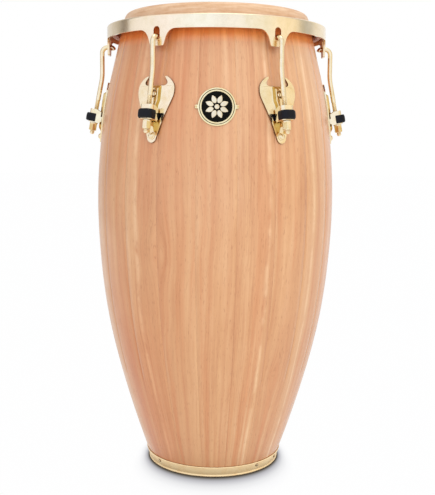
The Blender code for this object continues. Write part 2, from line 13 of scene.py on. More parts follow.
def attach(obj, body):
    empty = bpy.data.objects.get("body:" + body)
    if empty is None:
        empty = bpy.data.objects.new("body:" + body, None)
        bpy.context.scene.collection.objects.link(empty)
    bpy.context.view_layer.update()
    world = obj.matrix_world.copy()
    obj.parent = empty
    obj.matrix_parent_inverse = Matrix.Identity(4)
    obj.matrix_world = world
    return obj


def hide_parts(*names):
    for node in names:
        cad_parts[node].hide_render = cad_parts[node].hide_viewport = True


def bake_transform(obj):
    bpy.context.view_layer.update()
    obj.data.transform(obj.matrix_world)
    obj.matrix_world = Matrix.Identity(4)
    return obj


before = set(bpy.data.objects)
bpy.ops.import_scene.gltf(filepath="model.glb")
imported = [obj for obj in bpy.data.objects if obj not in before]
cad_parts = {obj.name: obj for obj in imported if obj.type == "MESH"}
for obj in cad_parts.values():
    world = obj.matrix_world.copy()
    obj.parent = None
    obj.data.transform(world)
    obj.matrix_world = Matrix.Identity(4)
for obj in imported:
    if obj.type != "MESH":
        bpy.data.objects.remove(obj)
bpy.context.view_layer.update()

MM = 0.001
TAU = 2 * math.pi

# ------------------------------------------------------------------ dimensions shared with the frame
HEIGHT = 762.0
GAP = 0.3
STAVE_TEMPLATE = ((0, 109.8), (60, 130.6), (130, 152.4), (250, 182.0), (370, 196.9),
                  (460, 200.0), (550, 194.6), (640, 180.9), (700, 166.7), (745, 157.0))
SHELL_WALL = 12.5
STAVES = 20
RIM_R, RIM_SHEET, RIM_TOP, RIM_BOTTOM, RIM_FLANGE_R = 182.6, 3.4, 740.0, 719.2, 169.2
EAR_BOTTOM, SLOT_HALF, SLOT_TOP, SADDLE_Z = 694.5, 5.5, 723.2, 704.1
HOOP_R, HOOP_Z, HOOP_SECTION = 172.0, 730.1, 6.2
ROD_R, HOOK_TOP_Z, SHANK_R = 3.95, 708.5, 192.5
LEAN = math.atan(0.2)
AXIS_R0, AXIS_Z0, ROD_END = 207.69, 583.54, 19.8
CUP_HALF, CUP_FRONT, CUP_WALL, CUP_HEIGHT, CUP_FLOOR = 10.8, 8.8, 2.2, 22.3, 3.0
PAD_HALF, PAD_FRONT, PAD_LOW, PAD_HIGH, PAD_BACK, PAD_CORNER = 12.3, 13.8, 1.4, 15.0, -2.6, 8.4
NUT_HEIGHT, NUT_FLATS, NUT_FLANGE_R = 14.0, 11.9, 6.9
PLATE_SHEET, PLATE_TIP_Z, JAW_Z, HORN_Z, RIDGE_H = 2.5, 549.6, 634.6, 648.8, 4.5
BOLT_UP_Z, BOLT_LOW_Z, BOLT_R = 622.2, 559.8, 3.1
BADGE_Z, BADGE_R, BADGE_TAB, PIN_U = 603.3, 28.6, 33.0, 30.8
BAND_H, BAND_SHEET, SCREW_Z = 18.0, 1.4, 13.0
STATIONS = (("front_left", -30), ("front_right", 30), ("right", 90),
            ("back_right", 150), ("back_left", -150), ("left", -90))
BAND_SCREWS = (("front_left", -52), ("front_right", 39), ("right", 65), ("back", 180))


# ------------------------------------------------------------------ node graphs
class Graph:
    """Small helper for writing a material as a node graph."""

    def __init__(self, name):
        self.mat = bpy.data.materials.new(name)
        self.mat.use_nodes = True
        self.nt = self.mat.node_tree
        self.nt.nodes.clear()
        self.out = self.nt.nodes.new("ShaderNodeOutputMaterial")
        self.bsdf = self.nt.nodes.new("ShaderNodeBsdfPrincipled")
        self.nt.links.new(self.bsdf.outputs[0], self.out.inputs[0])

    def set(self, sock, value):
        if isinstance(value, bpy.types.NodeSocket):
            self.nt.links.new(value, sock)
        elif isinstance(value, (tuple, list)) and len(value) == 3 and sock.type == 'RGBA':
            sock.default_value = (*value, 1)
        else:
            sock.default_value = value

    def p(self, **inputs):
        for k, v in inputs.items():
            self.set(self.bsdf.inputs[k.replace("_", " ")], v)
        return self

    def node(self, kind, **props):
        n = self.nt.nodes.new(kind)
        for k, v in props.items():
            setattr(n, k, v)
        return n

    def coords(self):
        return self.node("ShaderNodeTexCoord").outputs["Object"]

    def split(self, vec):
        n = self.node("ShaderNodeSeparateXYZ")
        self.set(n.inputs[0], vec)
        return n.outputs

    def join(self, x, y, z):
        n = self.node("ShaderNodeCombineXYZ")
        for i, v in enumerate((x, y, z)):
            self.set(n.inputs[i], v)
        return n.outputs[0]

    def math(self, op, a, b=0.0, c=0.0, clamp=False):
        n = self.node("ShaderNodeMath", operation=op, use_clamp=clamp)
        self.set(n.inputs[0], a)
        self.set(n.inputs[1], b)
        self.set(n.inputs[2], c)
        return n.outputs[0]

    def vmul(self, vec, by):
        n = self.node("ShaderNodeVectorMath", operation='MULTIPLY')
        self.set(n.inputs[0], vec)
        self.set(n.inputs[1], by)
        return n.outputs[0]

    def vadd(self, vec, by):
        n = self.node("ShaderNodeVectorMath", operation='ADD')
        self.set(n.inputs[0], vec)
        self.set(n.inputs[1], by)
        return n.outputs[0]

    def noise(self, vec, scale=1.0, detail=2.0, rough=0.5, distort=0.0):
        n = self.node("ShaderNodeTexNoise", noise_dimensions='3D')
        self.set(n.inputs["Vector"], vec)
        self.set(n.inputs["Scale"], scale)
        self.set(n.inputs["Detail"], detail)
        self.set(n.inputs["Roughness"], rough)
        self.set(n.inputs["Distortion"], distort)
        return n.outputs[0]

    def cells(self, vec, scale, feature='F1', out="Distance"):
        n = self.node("ShaderNodeTexVoronoi", feature=feature)
        self.set(n.inputs["Vector"], vec)
        self.set(n.inputs["Scale"], scale)
        return n.outputs[out]

    def chance(self, value):
        n = self.node("ShaderNodeTexWhiteNoise", noise_dimensions='1D')
        self.set(n.inputs["W"], value)
        return n.outputs["Value"], n.outputs["Color"]

    def span(self, value, a, b, c=0.0, d=1.0, clamp=True):
        n = self.node("ShaderNodeMapRange", clamp=clamp)
        for i, v in enumerate((value, a, b, c, d)):
            self.set(n.inputs[i], v)
        return n.outputs[0]

    def ramp(self, fac, stops, mode='LINEAR'):
        n = self.node("ShaderNodeValToRGB")
        self.set(n.inputs[0], fac)
        r = n.color_ramp
        r.interpolation = mode
        while len(r.elements) < len(stops):
            r.elements.new(0.5)
        for e, (pos, col) in zip(r.elements, stops):
            e.position = pos
            e.color = (*col, 1) if len(col) == 3 else col
        return n.outputs[0]

    def mix(self, fac, a, b, blend='MIX'):
        n = self.node("ShaderNodeMix", data_type='RGBA', blend_type=blend)
        self.set(n.inputs[0], fac)
        self.set(n.inputs[6], a)
        self.set(n.inputs[7], b)
        return n.outputs[2]

    def bump(self, height, strength=0.3, distance=0.0002, normal=None):
        n = self.node("ShaderNodeBump")
        self.set(n.inputs["Strength"], strength)
        self.set(n.inputs["Distance"], distance)
        self.set(n.inputs["Height"], height)
        if normal is not None:
            self.set(n.inputs["Normal"], normal)
        return n.outputs[0]


def lin(r, g, b):
    """A display colour (0..255) as linear light."""
    return tuple((c / 255 / 12.92) if c <= 10 else ((c / 255 + 0.055) / 1.055) ** 2.4 for c in (r, g, b))


def wood_material(name, inside=False):
    g = Graph(name)
    x, y, z = g.split(g.coords())
    az = g.math('ARCTAN2', x, g.math('MULTIPLY', y, -1.0))
    # staves: equal widths with slightly wandering joints
    turns = g.math('MULTIPLY', g.math('ADD', az, math.pi), STAVES / TAU)
    turns = g.math('ADD', turns, 0.5)
    stave = g.math('FLOOR', turns)
    part = g.math('FRACT', turns)
    rnd, rcol = g.chance(g.math('ADD', stave, 37.0))
    r1, r2, r3 = g.split(rcol)
    along = g.math('ADD', z, g.math('MULTIPLY', rnd, 9.0))
    across = g.math('ADD', g.math('MULTIPLY', az, 0.19), g.math('MULTIPLY', r1, 5.0))
    lean = g.math('MULTIPLY', g.math('SUBTRACT', r2, 0.5), 0.03)
    across = g.math('ADD', across, g.math('MULTIPLY', z, lean))
    # slow wander of the fibres, and two places where they flow round an old knot
    wander = g.noise(g.join(g.math('MULTIPLY', across, 9.0), rnd, g.math('MULTIPLY', along, 2.4)), 1.0, 3.0, 0.55)
    ripple = g.noise(g.join(g.math('MULTIPLY', across, 30.0), rnd, g.math('MULTIPLY', along, 14.0)), 1.0, 2.0, 0.5)
    across_w = g.math('ADD', across, g.math('MULTIPLY', g.math('SUBTRACT', wander, 0.5), 0.030))
    across_w = g.math('ADD', across_w, g.math('MULTIPLY', g.math('SUBTRACT', ripple, 0.5), 0.0045))
    swirl = 0.0
    for ka, kz, size in ((-0.46, 0.385, 0.022), (0.62, 0.175, 0.014), (2.3, 0.50, 0.022), (-2.2, 0.22, 0.018)):
        du = g.math('MULTIPLY', g.math('SUBTRACT', az, ka), 0.19)
        dz = g.math('MULTIPLY', g.math('SUBTRACT', z, kz), 0.36)
        d2 = g.math('ADD', g.math('ADD', g.math('MULTIPLY', du, du), g.math('MULTIPLY', dz, dz)), size * size * 0.35)
        push = g.math('DIVIDE', g.math('MULTIPLY', du, size * size * 0.60), d2)
        across_w = g.math('SUBTRACT', across_w, push)
        swirl = g.math('ADD', swirl, g.math('DIVIDE', size * size * 0.22, d2))
    broad = g.noise(g.join(g.math('MULTIPLY', across_w, 48.0), rnd, g.math('MULTIPLY', along, 1.5)), 1.0, 3.0, 0.55, 0.5)
    streak = g.noise(g.join(g.math('MULTIPLY', across_w, 150.0), rnd, g.math('MULTIPLY', along, 3.6)), 1.0, 4.0, 0.6, 0.5)
    fibre = g.noise(g.join(g.math('MULTIPLY', across_w, 800.0), rnd, g.math('MULTIPLY', along, 24.0)), 1.0, 3.0, 0.6)
    pore = g.noise(g.join(g.math('MULTIPLY', across_w, 820.0), rnd, g.math('MULTIPLY', along, 105.0)), 1.0, 1.0, 0.4)
    figure = g.noise(g.join(g.math('MULTIPLY', across_w, 26.0), rnd, g.math('MULTIPLY', along, 22.0)), 1.0, 3.0, 0.55, 0.6)
    # growth rings cut lengthways: long arches in some staves
    mid = g.math('SUBTRACT', part, g.math('ADD', 0.3, g.math('MULTIPLY', r3, 0.4)))
    arch = g.math('ADD', g.math('MULTIPLY', g.math('MULTIPLY', mid, mid), 26.0), g.math('MULTIPLY', along, 7.0))
    arch = g.math('ADD', arch, g.math('MULTIPLY', wander, 4.0))
    rings = g.math('SINE', g.math('MULTIPLY', arch, 5.0))
    rings = g.math('MULTIPLY', g.math('ADD', rings, 1.0), 0.5)
    ring_amount = g.span(r2, 0.6, 0.9, 0.0, 0.26)

    value = g.math('ADD', g.math('MULTIPLY', broad, 0.56), g.math('MULTIPLY', streak, 0.44))
    value = g.math('ADD', value, g.math('MULTIPLY', g.math('SUBTRACT', rings, 0.5), g.math('MULTIPLY', ring_amount, 0.5)))
    value = g.math('ADD', value, g.math('MULTIPLY', g.math('SUBTRACT', rnd, 0.5), 0.05))
    value = g.math('ADD', value, g.math('MULTIPLY', g.math('SUBTRACT', figure, 0.5), 0.14))
    if inside:
        stops = [(0.28, lin(150, 106, 74)), (0.45, lin(181, 137, 98)), (0.6, lin(199, 157, 116)), (0.78, lin(216, 178, 138))]
    else:
        stops = [(0.24, lin(184, 122, 80)), (0.38, lin(198, 142, 98)), (0.50, lin(206, 153, 108)),
                 (0.62, lin(212, 163, 119)), (0.78, lin(222, 179, 136))]
    col = g.ramp(value, stops)
    # warm and cool staves
    tint = g.ramp(r1, [(0.0, (0.98, 0.93, 0.90)), (0.35, (1.0, 0.98, 0.97)), (0.65, (1.0, 1.0, 1.0)), (1.0, (1.01, 1.02, 0.99))])
    col = g.mix(1.0, col, tint, 'MULTIPLY')
    blush = g.noise(g.join(g.math('MULTIPLY', across_w, 75.0), g.math('ADD', rnd, 7.0), g.math('MULTIPLY', along, 2.2)), 1.0, 3.0, 0.6, 0.4)
    col = g.mix(g.span(blush, 0.48, 0.66, 0.0, 0.80), col, g.mix(1.0, col, (0.97, 0.84, 0.77), 'MULTIPLY'))
    col = g.mix(g.span(blush, 0.46, 0.30, 0.0, 0.70), col, g.mix(1.0, col, (1.05, 1.10, 1.10), 'MULTIPLY'))
    col = g.mix(g.span(swirl, 0.08, 0.62, 0.0, 0.28), col, g.mix(1.0, col, (0.93, 0.76, 0.66), 'MULTIPLY'))
    # pale sapwood threads wander down some staves, and red heartwood shows beside a few joints
    thread = g.math('ABSOLUTE', g.math('SUBTRACT', g.math('ADD', part, g.math('MULTIPLY', g.math('SUBTRACT', wander, 0.5), 0.55)),
                                       g.math('ADD', 0.12, g.math('MULTIPLY', r3, 0.7))))
    pale = g.math('MULTIPLY', g.span(thread, 0.010, 0.085, 1.0, 0.0), g.span(r1, 0.40, 0.55, 0.0, 0.42))
    pale = g.math('MULTIPLY', pale, g.span(figure, 0.30, 0.55))
    col = g.mix(pale, col, lin(238, 202, 160) if not inside else lin(222, 186, 148))
    if not inside:
        for ha, wide, top, amount in ((-0.94, 0.11, 0.36, 0.85), (-0.70, 0.08, 0.30, 0.75), (-0.50, 0.06, 0.40, 0.65), (0.96, 0.042, 0.36, 0.9), (1.08, 0.10, 0.30, 0.4),
                                      (2.4, 0.09, 0.30, 0.6), (-2.7, 0.07, 0.40, 0.5), (-0.98, 0.06, 0.60, 0.35), (1.30, 0.12, 0.75, 0.2)):
            off = g.math('ADD', g.math('SUBTRACT', az, ha), g.math('MULTIPLY', g.math('SUBTRACT', wander, 0.5), 0.10))
            band = g.span(g.math('ABSOLUTE', off), 0.0, wide, 1.0, 0.0)
            band = g.math('MULTIPLY', band, g.span(z, top, top - 0.16, 0.0, amount))
            band = g.math('MULTIPLY', band, g.span(streak, 0.30, 0.60, 0.25, 1.0))
            col = g.mix(band, col, g.mix(1.0, col, (0.88, 0.68, 0.56), 'MULTIPLY'))
    col = g.mix(g.span(fibre, 0.46, 0.28, 0.0, 0.40), col, g.mix(1.0, col, (0.80, 0.70, 0.60), 'MULTIPLY'))
    col = g.mix(g.span(fibre, 0.55, 0.75, 0.0, 0.32), col, g.mix(1.0, col, (1.08, 1.10, 1.12), 'MULTIPLY'))
    pores = g.span(pore, 0.36, 0.28, 0.0, 0.40)
    col = g.mix(pores, col, g.mix(1.0, col, (0.66, 0.50, 0.40), 'MULTIPLY'))
    # glue lines between the staves
    edge = g.math('MINIMUM', part, g.math('SUBTRACT', 1.0, part))
    line = g.span(edge, 0.003, 0.009, g.span(rnd, 0.2, 0.9, 0.05, 0.22), 0.0)
    col = g.mix(line, col, g.mix(1.0, col, (0.55, 0.42, 0.34), 'MULTIPLY'))
    # painted shade: under the rim the wood is tinted amber and darker, standing in for the rim's shade
    if not inside:
        col = g.mix(g.span(z, 0.688, 0.716, 0.0, 1.0), col, g.mix(1.0, col, (1.08, 0.94, 0.80), 'MULTIPLY'))
        col = g.mix(g.span(z, 0.700, 0.715, 0.0, 1.0), col, g.mix(1.0, col, (1.33, 0.98, 0.56), 'MULTIPLY'))
        # towards the foot the grain is coarser: broad rosy and straw-coloured bands
        coarse = g.noise(g.join(g.math('MULTIPLY', across_w, 62.0), 3.3, g.math('MULTIPLY', along, 1.2)), 1.0, 2.0, 0.5, 0.4)
        low = g.span(z, 0.34, 0.06, 0.0, 1.0)
        col = g.mix(g.math('MULTIPLY', low, g.span(coarse, 0.52, 0.64, 0.0, 0.75)), col, g.mix(1.0, col, (0.95, 0.80, 0.70), 'MULTIPLY'))
        col = g.mix(g.math('MULTIPLY', low, g.span(coarse, 0.47, 0.36, 0.0, 0.75)), col, g.mix(1.0, col, (1.07, 1.14, 1.14), 'MULTIPLY'))
        # painted shade: the wood darkens to deep brown in the nooks where other parts come close to it
        ao = g.node("ShaderNodeAmbientOcclusion", samples=6, only_local=False)
        ao.inputs["Distance"].default_value = 0.0055
        col = g.mix(g.span(ao.outputs["AO"], 0.70, 0.42, 0.0, 0.85), col, lin(96, 50, 24))
        # painted light and shade: high on the drum the wood is paler to the right of the badge and redder to its left,
        # as if lit from the right
        high = g.span(z, 0.50, 0.62, 0.0, 1.0)
        col = g.mix(g.math('MULTIPLY', high, g.span(az, -0.05, 0.22)), col, g.mix(1.0, col, (1.06, 1.12, 1.20), 'MULTIPLY'))
        col = g.mix(g.math('MULTIPLY', high, g.span(az, -0.12, -0.30)), col, g.mix(1.0, col, (1.02, 0.94, 0.90), 'MULTIPLY'))
        rosy = g.math('MULTIPLY', g.span(g.math('ABSOLUTE', g.math('ADD', az, 0.82)), 0.45, 0.15), g.span(z, 0.40, 0.22, 0.0, 1.0))
        col = g.mix(rosy, col, g.mix(1.0, col, (0.96, 0.80, 0.70), 'MULTIPLY'))
    # a breath of grime and handling marks, in faint patches all over the wood
    smudge = g.noise(g.coords(), 9.0, 4.0, 0.6)
    col = g.mix(g.span(smudge, 0.55, 0.75, 0.0, 0.10), col, g.mix(1.0, col, (0.86, 0.80, 0.76), 'MULTIPLY'))
    relief = g.math('ADD', g.math('MULTIPLY', fibre, 0.5), g.math('MULTIPLY', pores, -1.0))
    relief = g.math('ADD', relief, g.math('MULTIPLY', line, -1.5))
    rough = g.span(g.noise(g.coords(), 34.0, 3.0, 0.6), 0.3, 0.7, 0.30, 0.42)
    if inside:
        g.p(Base_Color=col, Roughness=0.75, Normal=g.bump(relief, 0.7, 0.0003))
        g.bsdf.inputs["Specular IOR Level"].default_value = 0.25
    else:
        rough = g.math('ADD', rough, g.math('MULTIPLY', pores, 0.2))
        g.p(Base_Color=col, Roughness=rough, Normal=g.bump(relief, 0.22, 0.00012))
        g.bsdf.inputs["Coat Weight"].default_value = 0.30
        wave = g.noise(g.coords(), 55.0, 2.0, 0.5)
        g.set(g.bsdf.inputs["Coat Roughness"], g.span(smudge, 0.3, 0.7, 0.14, 0.24))
        g.set(g.bsdf.inputs["Coat Normal"], g.bump(wave, 0.06, 0.0006))
    return g.mat


def hide_material(name):
    g = Graph(name)
    xyz = g.coords()
    x, y, z = g.split(xyz)
    az = g.math('ARCTAN2', x, g.math('MULTIPLY', y, -1.0))
    rr = g.math('SQRT', g.math('ADD', g.math('MULTIPLY', x, x), g.math('MULTIPLY', y, y)))
    big = g.noise(xyz, 11.0, 5.0, 0.6, 0.6)
    mott = g.noise(xyz, 48.0, 5.0, 0.65, 0.3)
    fine = g.noise(xyz, 520.0, 4.0, 0.6)
    spine = g.noise(g.vmul(xyz, (18.0, 3.5, 5.0)), 1.0, 4.0, 0.6, 0.8)
    hair = g.noise(g.vmul(g.vadd(xyz, (3.1, 0.0, 0.0)), (1300.0, 190.0, 500.0)), 1.0, 2.0, 0.5)
    # on the collar the hide is drawn tight, and its marks run round the drum
    around = g.noise(g.join(g.math('MULTIPLY', az, 3.2), 0.0, g.math('MULTIPLY', z, 260.0)), 1.0, 4.0, 0.6, 0.2)
    value = g.math('ADD', g.math('MULTIPLY', big, 0.42), g.math('MULTIPLY', mott, 0.30))
    value = g.math('ADD', value, g.math('MULTIPLY', spine, 0.28))
    top = g.ramp(value, [(0.30, lin(206, 172, 136)), (0.42, lin(216, 188, 157)), (0.52, lin(222, 200, 173)),
                         (0.64, lin(229, 211, 188)), (0.8, lin(236, 222, 205))])
    side = g.ramp(g.math('ADD', g.math('MULTIPLY', around, 0.65), g.math('MULTIPLY', mott, 0.35)),
                  [(0.28, lin(186, 138, 98)), (0.42, lin(202, 158, 118)), (0.54, lin(214, 177, 141)),
                   (0.68, lin(224, 192, 158)), (0.82, lin(232, 206, 176))])
    collar = g.span(rr, 0.1436, 0.1492)
    col = g.mix(collar, top, side)
    low = g.span(z, 0.7475, 0.7405)
    col = g.mix(g.math('MULTIPLY', low, 0.5), col, lin(184, 126, 84))
    # painted shade: the lapped edge under the rim is coloured dark amber
    col = g.mix(g.math('MULTIPLY', g.span(z, 0.7385, 0.7345), 0.85), col, lin(186, 116, 62))
    vein = g.cells(g.vadd(g.vmul(xyz, (1.0, 1.0, 1.0)), (0.4, 0.2, 0.0)), 26.0, 'DISTANCE_TO_EDGE')
    col = g.mix(g.span(vein, 0.0, 0.035, 0.10, 0.0), col, lin(214, 168, 122))
    col = g.mix(g.span(hair, 0.36, 0.28, 0.0, 0.5), col, lin(170, 118, 72))
    play = g.span(g.noise(xyz, 23.0, 4.0, 0.7), 0.5, 0.75, 0.0, 0.14)
    col = g.mix(play, col, lin(208, 172, 132))
    h = g.math('ADD', g.math('MULTIPLY', fine, 0.5), g.math('MULTIPLY', mott, 0.8))
    g.p(Base_Color=col, Roughness=g.span(mott, 0.3, 0.7, 0.42, 0.6), Normal=g.bump(h, 0.30, 0.0004))
    g.bsdf.inputs["Specular IOR Level"].default_value = 0.45
    g.bsdf.inputs["Sheen Weight"].default_value = 0.08
    return g.mat


def gold_material(name, bright, deep, rough=(0.10, 0.20), satin=0.0, seed=0.0, crevice_shade=0.3, under=0.0, metal=1.0):
    g = Graph(name)
    info = g.node("ShaderNodeObjectInfo")
    shift = g.math('MULTIPLY', info.outputs["Random"], 3.7)
    xyz = g.vadd(g.coords(), g.join(shift, seed, shift))
    cloud = g.noise(xyz, 70.0, 4.0, 0.6, 0.3)
    fine = g.noise(xyz, 420.0, 4.0, 0.6)
    lines = g.noise(g.vmul(xyz, (60.0, 60.0, 2600.0)), 1.0, 2.0, 0.5)
    pits = g.cells(xyz, 520.0)
    col = g.ramp(cloud, [(0.30, deep), (0.55, bright), (0.8, tuple(min(1.0, c * 1.04) for c in bright))])
    # thin plating wears on the corners, and the recesses get painted shade: a dark brown mixed in where occlusion is
    # found
    geo = g.node("ShaderNodeNewGeometry")
    corner = g.span(geo.outputs["Pointiness"], 0.52, 0.62)
    wear = g.math('MULTIPLY', corner, g.span(fine, 0.42, 0.62))
    col = g.mix(g.math('MULTIPLY', wear, 0.45), col, (0.93, 0.86, 0.70))
    if crevice_shade:
        ao = g.node("ShaderNodeAmbientOcclusion", samples=6, only_local=False)
        ao.inputs["Distance"].default_value = 0.005
        nook = g.span(ao.outputs["AO"], 0.70, 0.15, 0.0, crevice_shade)
        col = g.mix(nook, col, tuple(c * k for c, k in zip(deep, (0.42, 0.30, 0.18))))
    # painted shade: under and inside the rim the gold turns deep amber where a wide occlusion finds the shell
    if under:
        hood_shade = g.node("ShaderNodeAmbientOcclusion", samples=8, only_local=False)
        hood_shade.inputs["Distance"].default_value = 0.030
        col = g.mix(g.span(hood_shade.outputs["AO"], 0.62, 0.30, 0.0, under), col, (0.52, 0.26, 0.10))
    r = g.span(fine, 0.3, 0.7, rough[0], rough[1])
    r = g.math('ADD', r, g.math('MULTIPLY', wear, 0.12))
    r = g.math('ADD', r, g.span(cloud, 0.55, 0.75, 0.0, 0.05))
    height = g.math('ADD', g.math('MULTIPLY', fine, 0.6), g.math('MULTIPLY', lines, 0.25 + satin))
    height = g.math('ADD', height, g.span(pits, 0.0, 0.08, -0.35, 0.0))
    g.p(Base_Color=col, Metallic=metal, Roughness=r, Normal=g.bump(height, 0.10 + 0.5 * satin, 0.00012))
    return g.mat


def rubber_material(name):
    g = Graph(name)
    xyz = g.coords()
    grain = g.noise(xyz, 900.0, 3.0, 0.6)
    cloud = g.noise(xyz, 120.0, 3.0, 0.6)
    geo = g.node("ShaderNodeNewGeometry")
    col = g.ramp(cloud, [(0.3, lin(3, 3, 7)), (0.55, lin(5, 5, 12)), (0.8, lin(11, 12, 24))])
    edge = g.math('MULTIPLY', g.span(geo.outputs["Pointiness"], 0.5, 0.6), g.span(grain, 0.35, 0.6))
    col = g.mix(g.math('MULTIPLY', edge, 0.3), col, lin(40, 38, 48))
    g.p(Base_Color=col, Roughness=g.span(cloud, 0.3, 0.7, 0.38, 0.58), Normal=g.bump(g.math('ADD', grain, g.math('MULTIPLY', cloud, 2.0)), 0.35, 0.0004))
    g.bsdf.inputs["Specular IOR Level"].default_value = 0.22
    return g.mat


def enamel_material(name):
    g = Graph(name)
    xyz = g.coords()
    wave = g.noise(xyz, 160.0, 3.0, 0.5)
    dust = g.noise(xyz, 1600.0, 3.0, 0.7)
    col = g.ramp(wave, [(0.3, lin(6, 5, 1)), (0.7, lin(13, 12, 4))])
    col = g.mix(g.span(dust, 0.62, 0.75, 0.0, 0.2), col, lin(64, 62, 54))
    g.p(Base_Color=col, Roughness=g.span(dust, 0.3, 0.7, 0.16, 0.30), Normal=g.bump(wave, 0.08, 0.0004))
    g.bsdf.inputs["Specular IOR Level"].default_value = 0.07
    return g.mat


def steel_material(name):
    g = Graph(name)
    xyz = g.coords()
    flake = g.cells(xyz, 240.0, 'F1', "Color")
    f1, f2, f3 = g.split(flake)
    fine = g.noise(xyz, 700.0, 4.0, 0.6)
    stain = g.noise(xyz, 60.0, 4.0, 0.6)
    col = g.ramp(f1, [(0.0, (0.46, 0.46, 0.45)), (1.0, (0.62, 0.62, 0.60))])
    col = g.mix(g.span(stain, 0.55, 0.75, 0.0, 0.4), col, (0.34, 0.28, 0.20))
    g.p(Base_Color=col, Metallic=1.0, Roughness=g.span(f2, 0.0, 1.0, 0.28, 0.45), Normal=g.bump(fine, 0.15, 0.0002))
    return g.mat


WOOD = wood_material("wood_varnished")
WOOD_IN = wood_material("wood_inside", inside=True)
HIDE = hide_material("rawhide")
GOLD_RIM = gold_material("gold_rim", (0.93, 0.785, 0.56), (0.89, 0.735, 0.49), (0.12, 0.20), seed=1.0, crevice_shade=0.2, under=0.85)
GOLD = gold_material("gold_bright", (0.91, 0.755, 0.50), (0.86, 0.67, 0.38), (0.09, 0.19), seed=2.0)
# darker copies of the gold, given to faces to carry painted shade: the plate channel walls, plate and screw edges and
# the rim's inside; the deep copy also colours the badge nails
GOLD_DEEP = gold_material("gold_deep", (0.78, 0.58, 0.27), (0.66, 0.44, 0.16), (0.12, 0.24), seed=3.0)
GOLD_WALL_SHADE = gold_material("gold_wall_shade", (0.62, 0.37, 0.085), (0.48, 0.26, 0.045), (0.16, 0.30), seed=7.0, crevice_shade=0.4)
GOLD_EDGE_SHADE = gold_material("gold_edge_shade", (0.34, 0.18, 0.06), (0.24, 0.12, 0.04), (0.20, 0.34), seed=8.0, crevice_shade=0.4)
GOLD_SATIN = gold_material("gold_satin", (1.0, 0.75, 0.42), (0.96, 0.67, 0.34), (0.30, 0.44), satin=0.35, seed=4.0, crevice_shade=0.0, metal=0.35)
GOLD_INNER_SHADE = gold_material("gold_inner_shade", (0.72, 0.40, 0.17), (0.60, 0.30, 0.11), (0.34, 0.48), seed=9.0, crevice_shade=0.2, metal=0.25)
GOLD_BADGE = gold_material("gold_badge", (0.92, 0.76, 0.44), (0.86, 0.66, 0.32), (0.14, 0.24), seed=5.0, crevice_shade=0.4)
RUBBER = rubber_material("rubber_black")
ENAMEL = enamel_material("enamel_black")
STEEL = steel_material("steel_zinc")


# ------------------------------------------------------------------ shape tools
def natural_spline(points):
    """Natural cubic spline through (x, y) points, returned as f(x, order)."""
    x = np.array([p[0] for p in points], float)
    y = np.array([p[1] for p in points], float)
    n = len(x)
    h = np.diff(x)
    A = np.eye(n)
    b = np.zeros(n)
    for i in range(1, n - 1):
        A[i, i - 1], A[i, i], A[i, i + 1] = h[i - 1], 2 * (h[i - 1] + h[i]), h[i]
        b[i] = 6 * ((y[i + 1] - y[i]) / h[i] - (y[i] - y[i - 1]) / h[i - 1])
    m = np.linalg.solve(A, b)

    def f(v, order=0):
        i = int(min(max(np.searchsorted(x, v) - 1, 0), n - 2))
        a, c, hh = x[i + 1] - v, v - x[i], h[i]
        if order == 0:
            return float(m[i] * a ** 3 / (6 * hh) + m[i + 1] * c ** 3 / (6 * hh)
                         + (y[i] / hh - m[i] * hh / 6) * a + (y[i + 1] / hh - m[i + 1] * hh / 6) * c)
        return float(-m[i] * a ** 2 / (2 * hh) + m[i + 1] * c ** 2 / (2 * hh)
                     + (y[i + 1] - y[i]) / hh - (m[i + 1] - m[i]) * hh / 6)
    return f


def smooth_curve(points):
    """Monotone cubic curve through (x, y) points: no overshoot between them."""
    x = [p[0] for p in points]
    y = [p[1] for p in points]
    n = len(x)
    d = [(y[i + 1] - y[i]) / (x[i + 1] - x[i]) for i in range(n - 1)]
    m = [d[0]] + [0.0 if d[i - 1] * d[i] <= 0 else 2 * d[i - 1] * d[i] / (d[i - 1] + d[i])
                  for i in range(1, n - 1)] + [d[-1]]

    def f(v):
        v = min(max(v, x[0]), x[-1])
        i = max(k for k in range(n - 1) if v >= x[k])
        h = x[i + 1] - x[i]
        t = (v - x[i]) / h
        return ((2 * t ** 3 - 3 * t ** 2 + 1) * y[i] + (t ** 3 - 2 * t ** 2 + t) * h * m[i]
                + (-2 * t ** 3 + 3 * t ** 2) * y[i + 1] + (t ** 3 - t ** 2) * h * m[i + 1])
    return f


def step(a, b, v):
    t = min(max((v - a) / (b - a), 0.0), 1.0)
    return t * t * (3 - 2 * t)


def mesh_of(name, verts, faces, weld=1e-7):
    me = bpy.data.meshes.new(name)
    me.from_pydata([(v[0] * MM, v[1] * MM, v[2] * MM) for v in verts], [], faces)
    bm = bmesh.new()
    bm.from_mesh(me)
    bmesh.ops.remove_doubles(bm, verts=bm.verts, dist=weld)
    bmesh.ops.recalc_face_normals(bm, faces=bm.faces)
    bm.to_mesh(me)
    bm.free()
    return me


def piece(name, mesh, mats, body, nodes=(), turn=0.0, loc=(0, 0, 0), bevel=0.0, segments=2,
          angle=35, harden=True, ride=True):
    mats = mats if isinstance(mats, (list, tuple)) else [mats]
    if not mesh.materials:
        for m in mats:
            mesh.materials.append(m)
        mesh.shade_smooth()
        mesh.set_sharp_from_angle(angle=math.radians(angle))
    ob = bpy.data.objects.new(name, mesh)
    bpy.context.scene.collection.objects.link(ob)
    ob.location = loc
    ob.rotation_euler = (0, 0, turn)
    if bevel:
        b = ob.modifiers.new("edge", 'BEVEL')
        b.width = bevel * MM
        b.segments = segments
        b.limit_method = 'ANGLE'
        b.angle_limit = math.radians(angle)
        b.harden_normals = harden
        b.use_clamp_overlap = True
    if ride:
        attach(ob, body)
    if nodes:
        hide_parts(*nodes)
    return ob


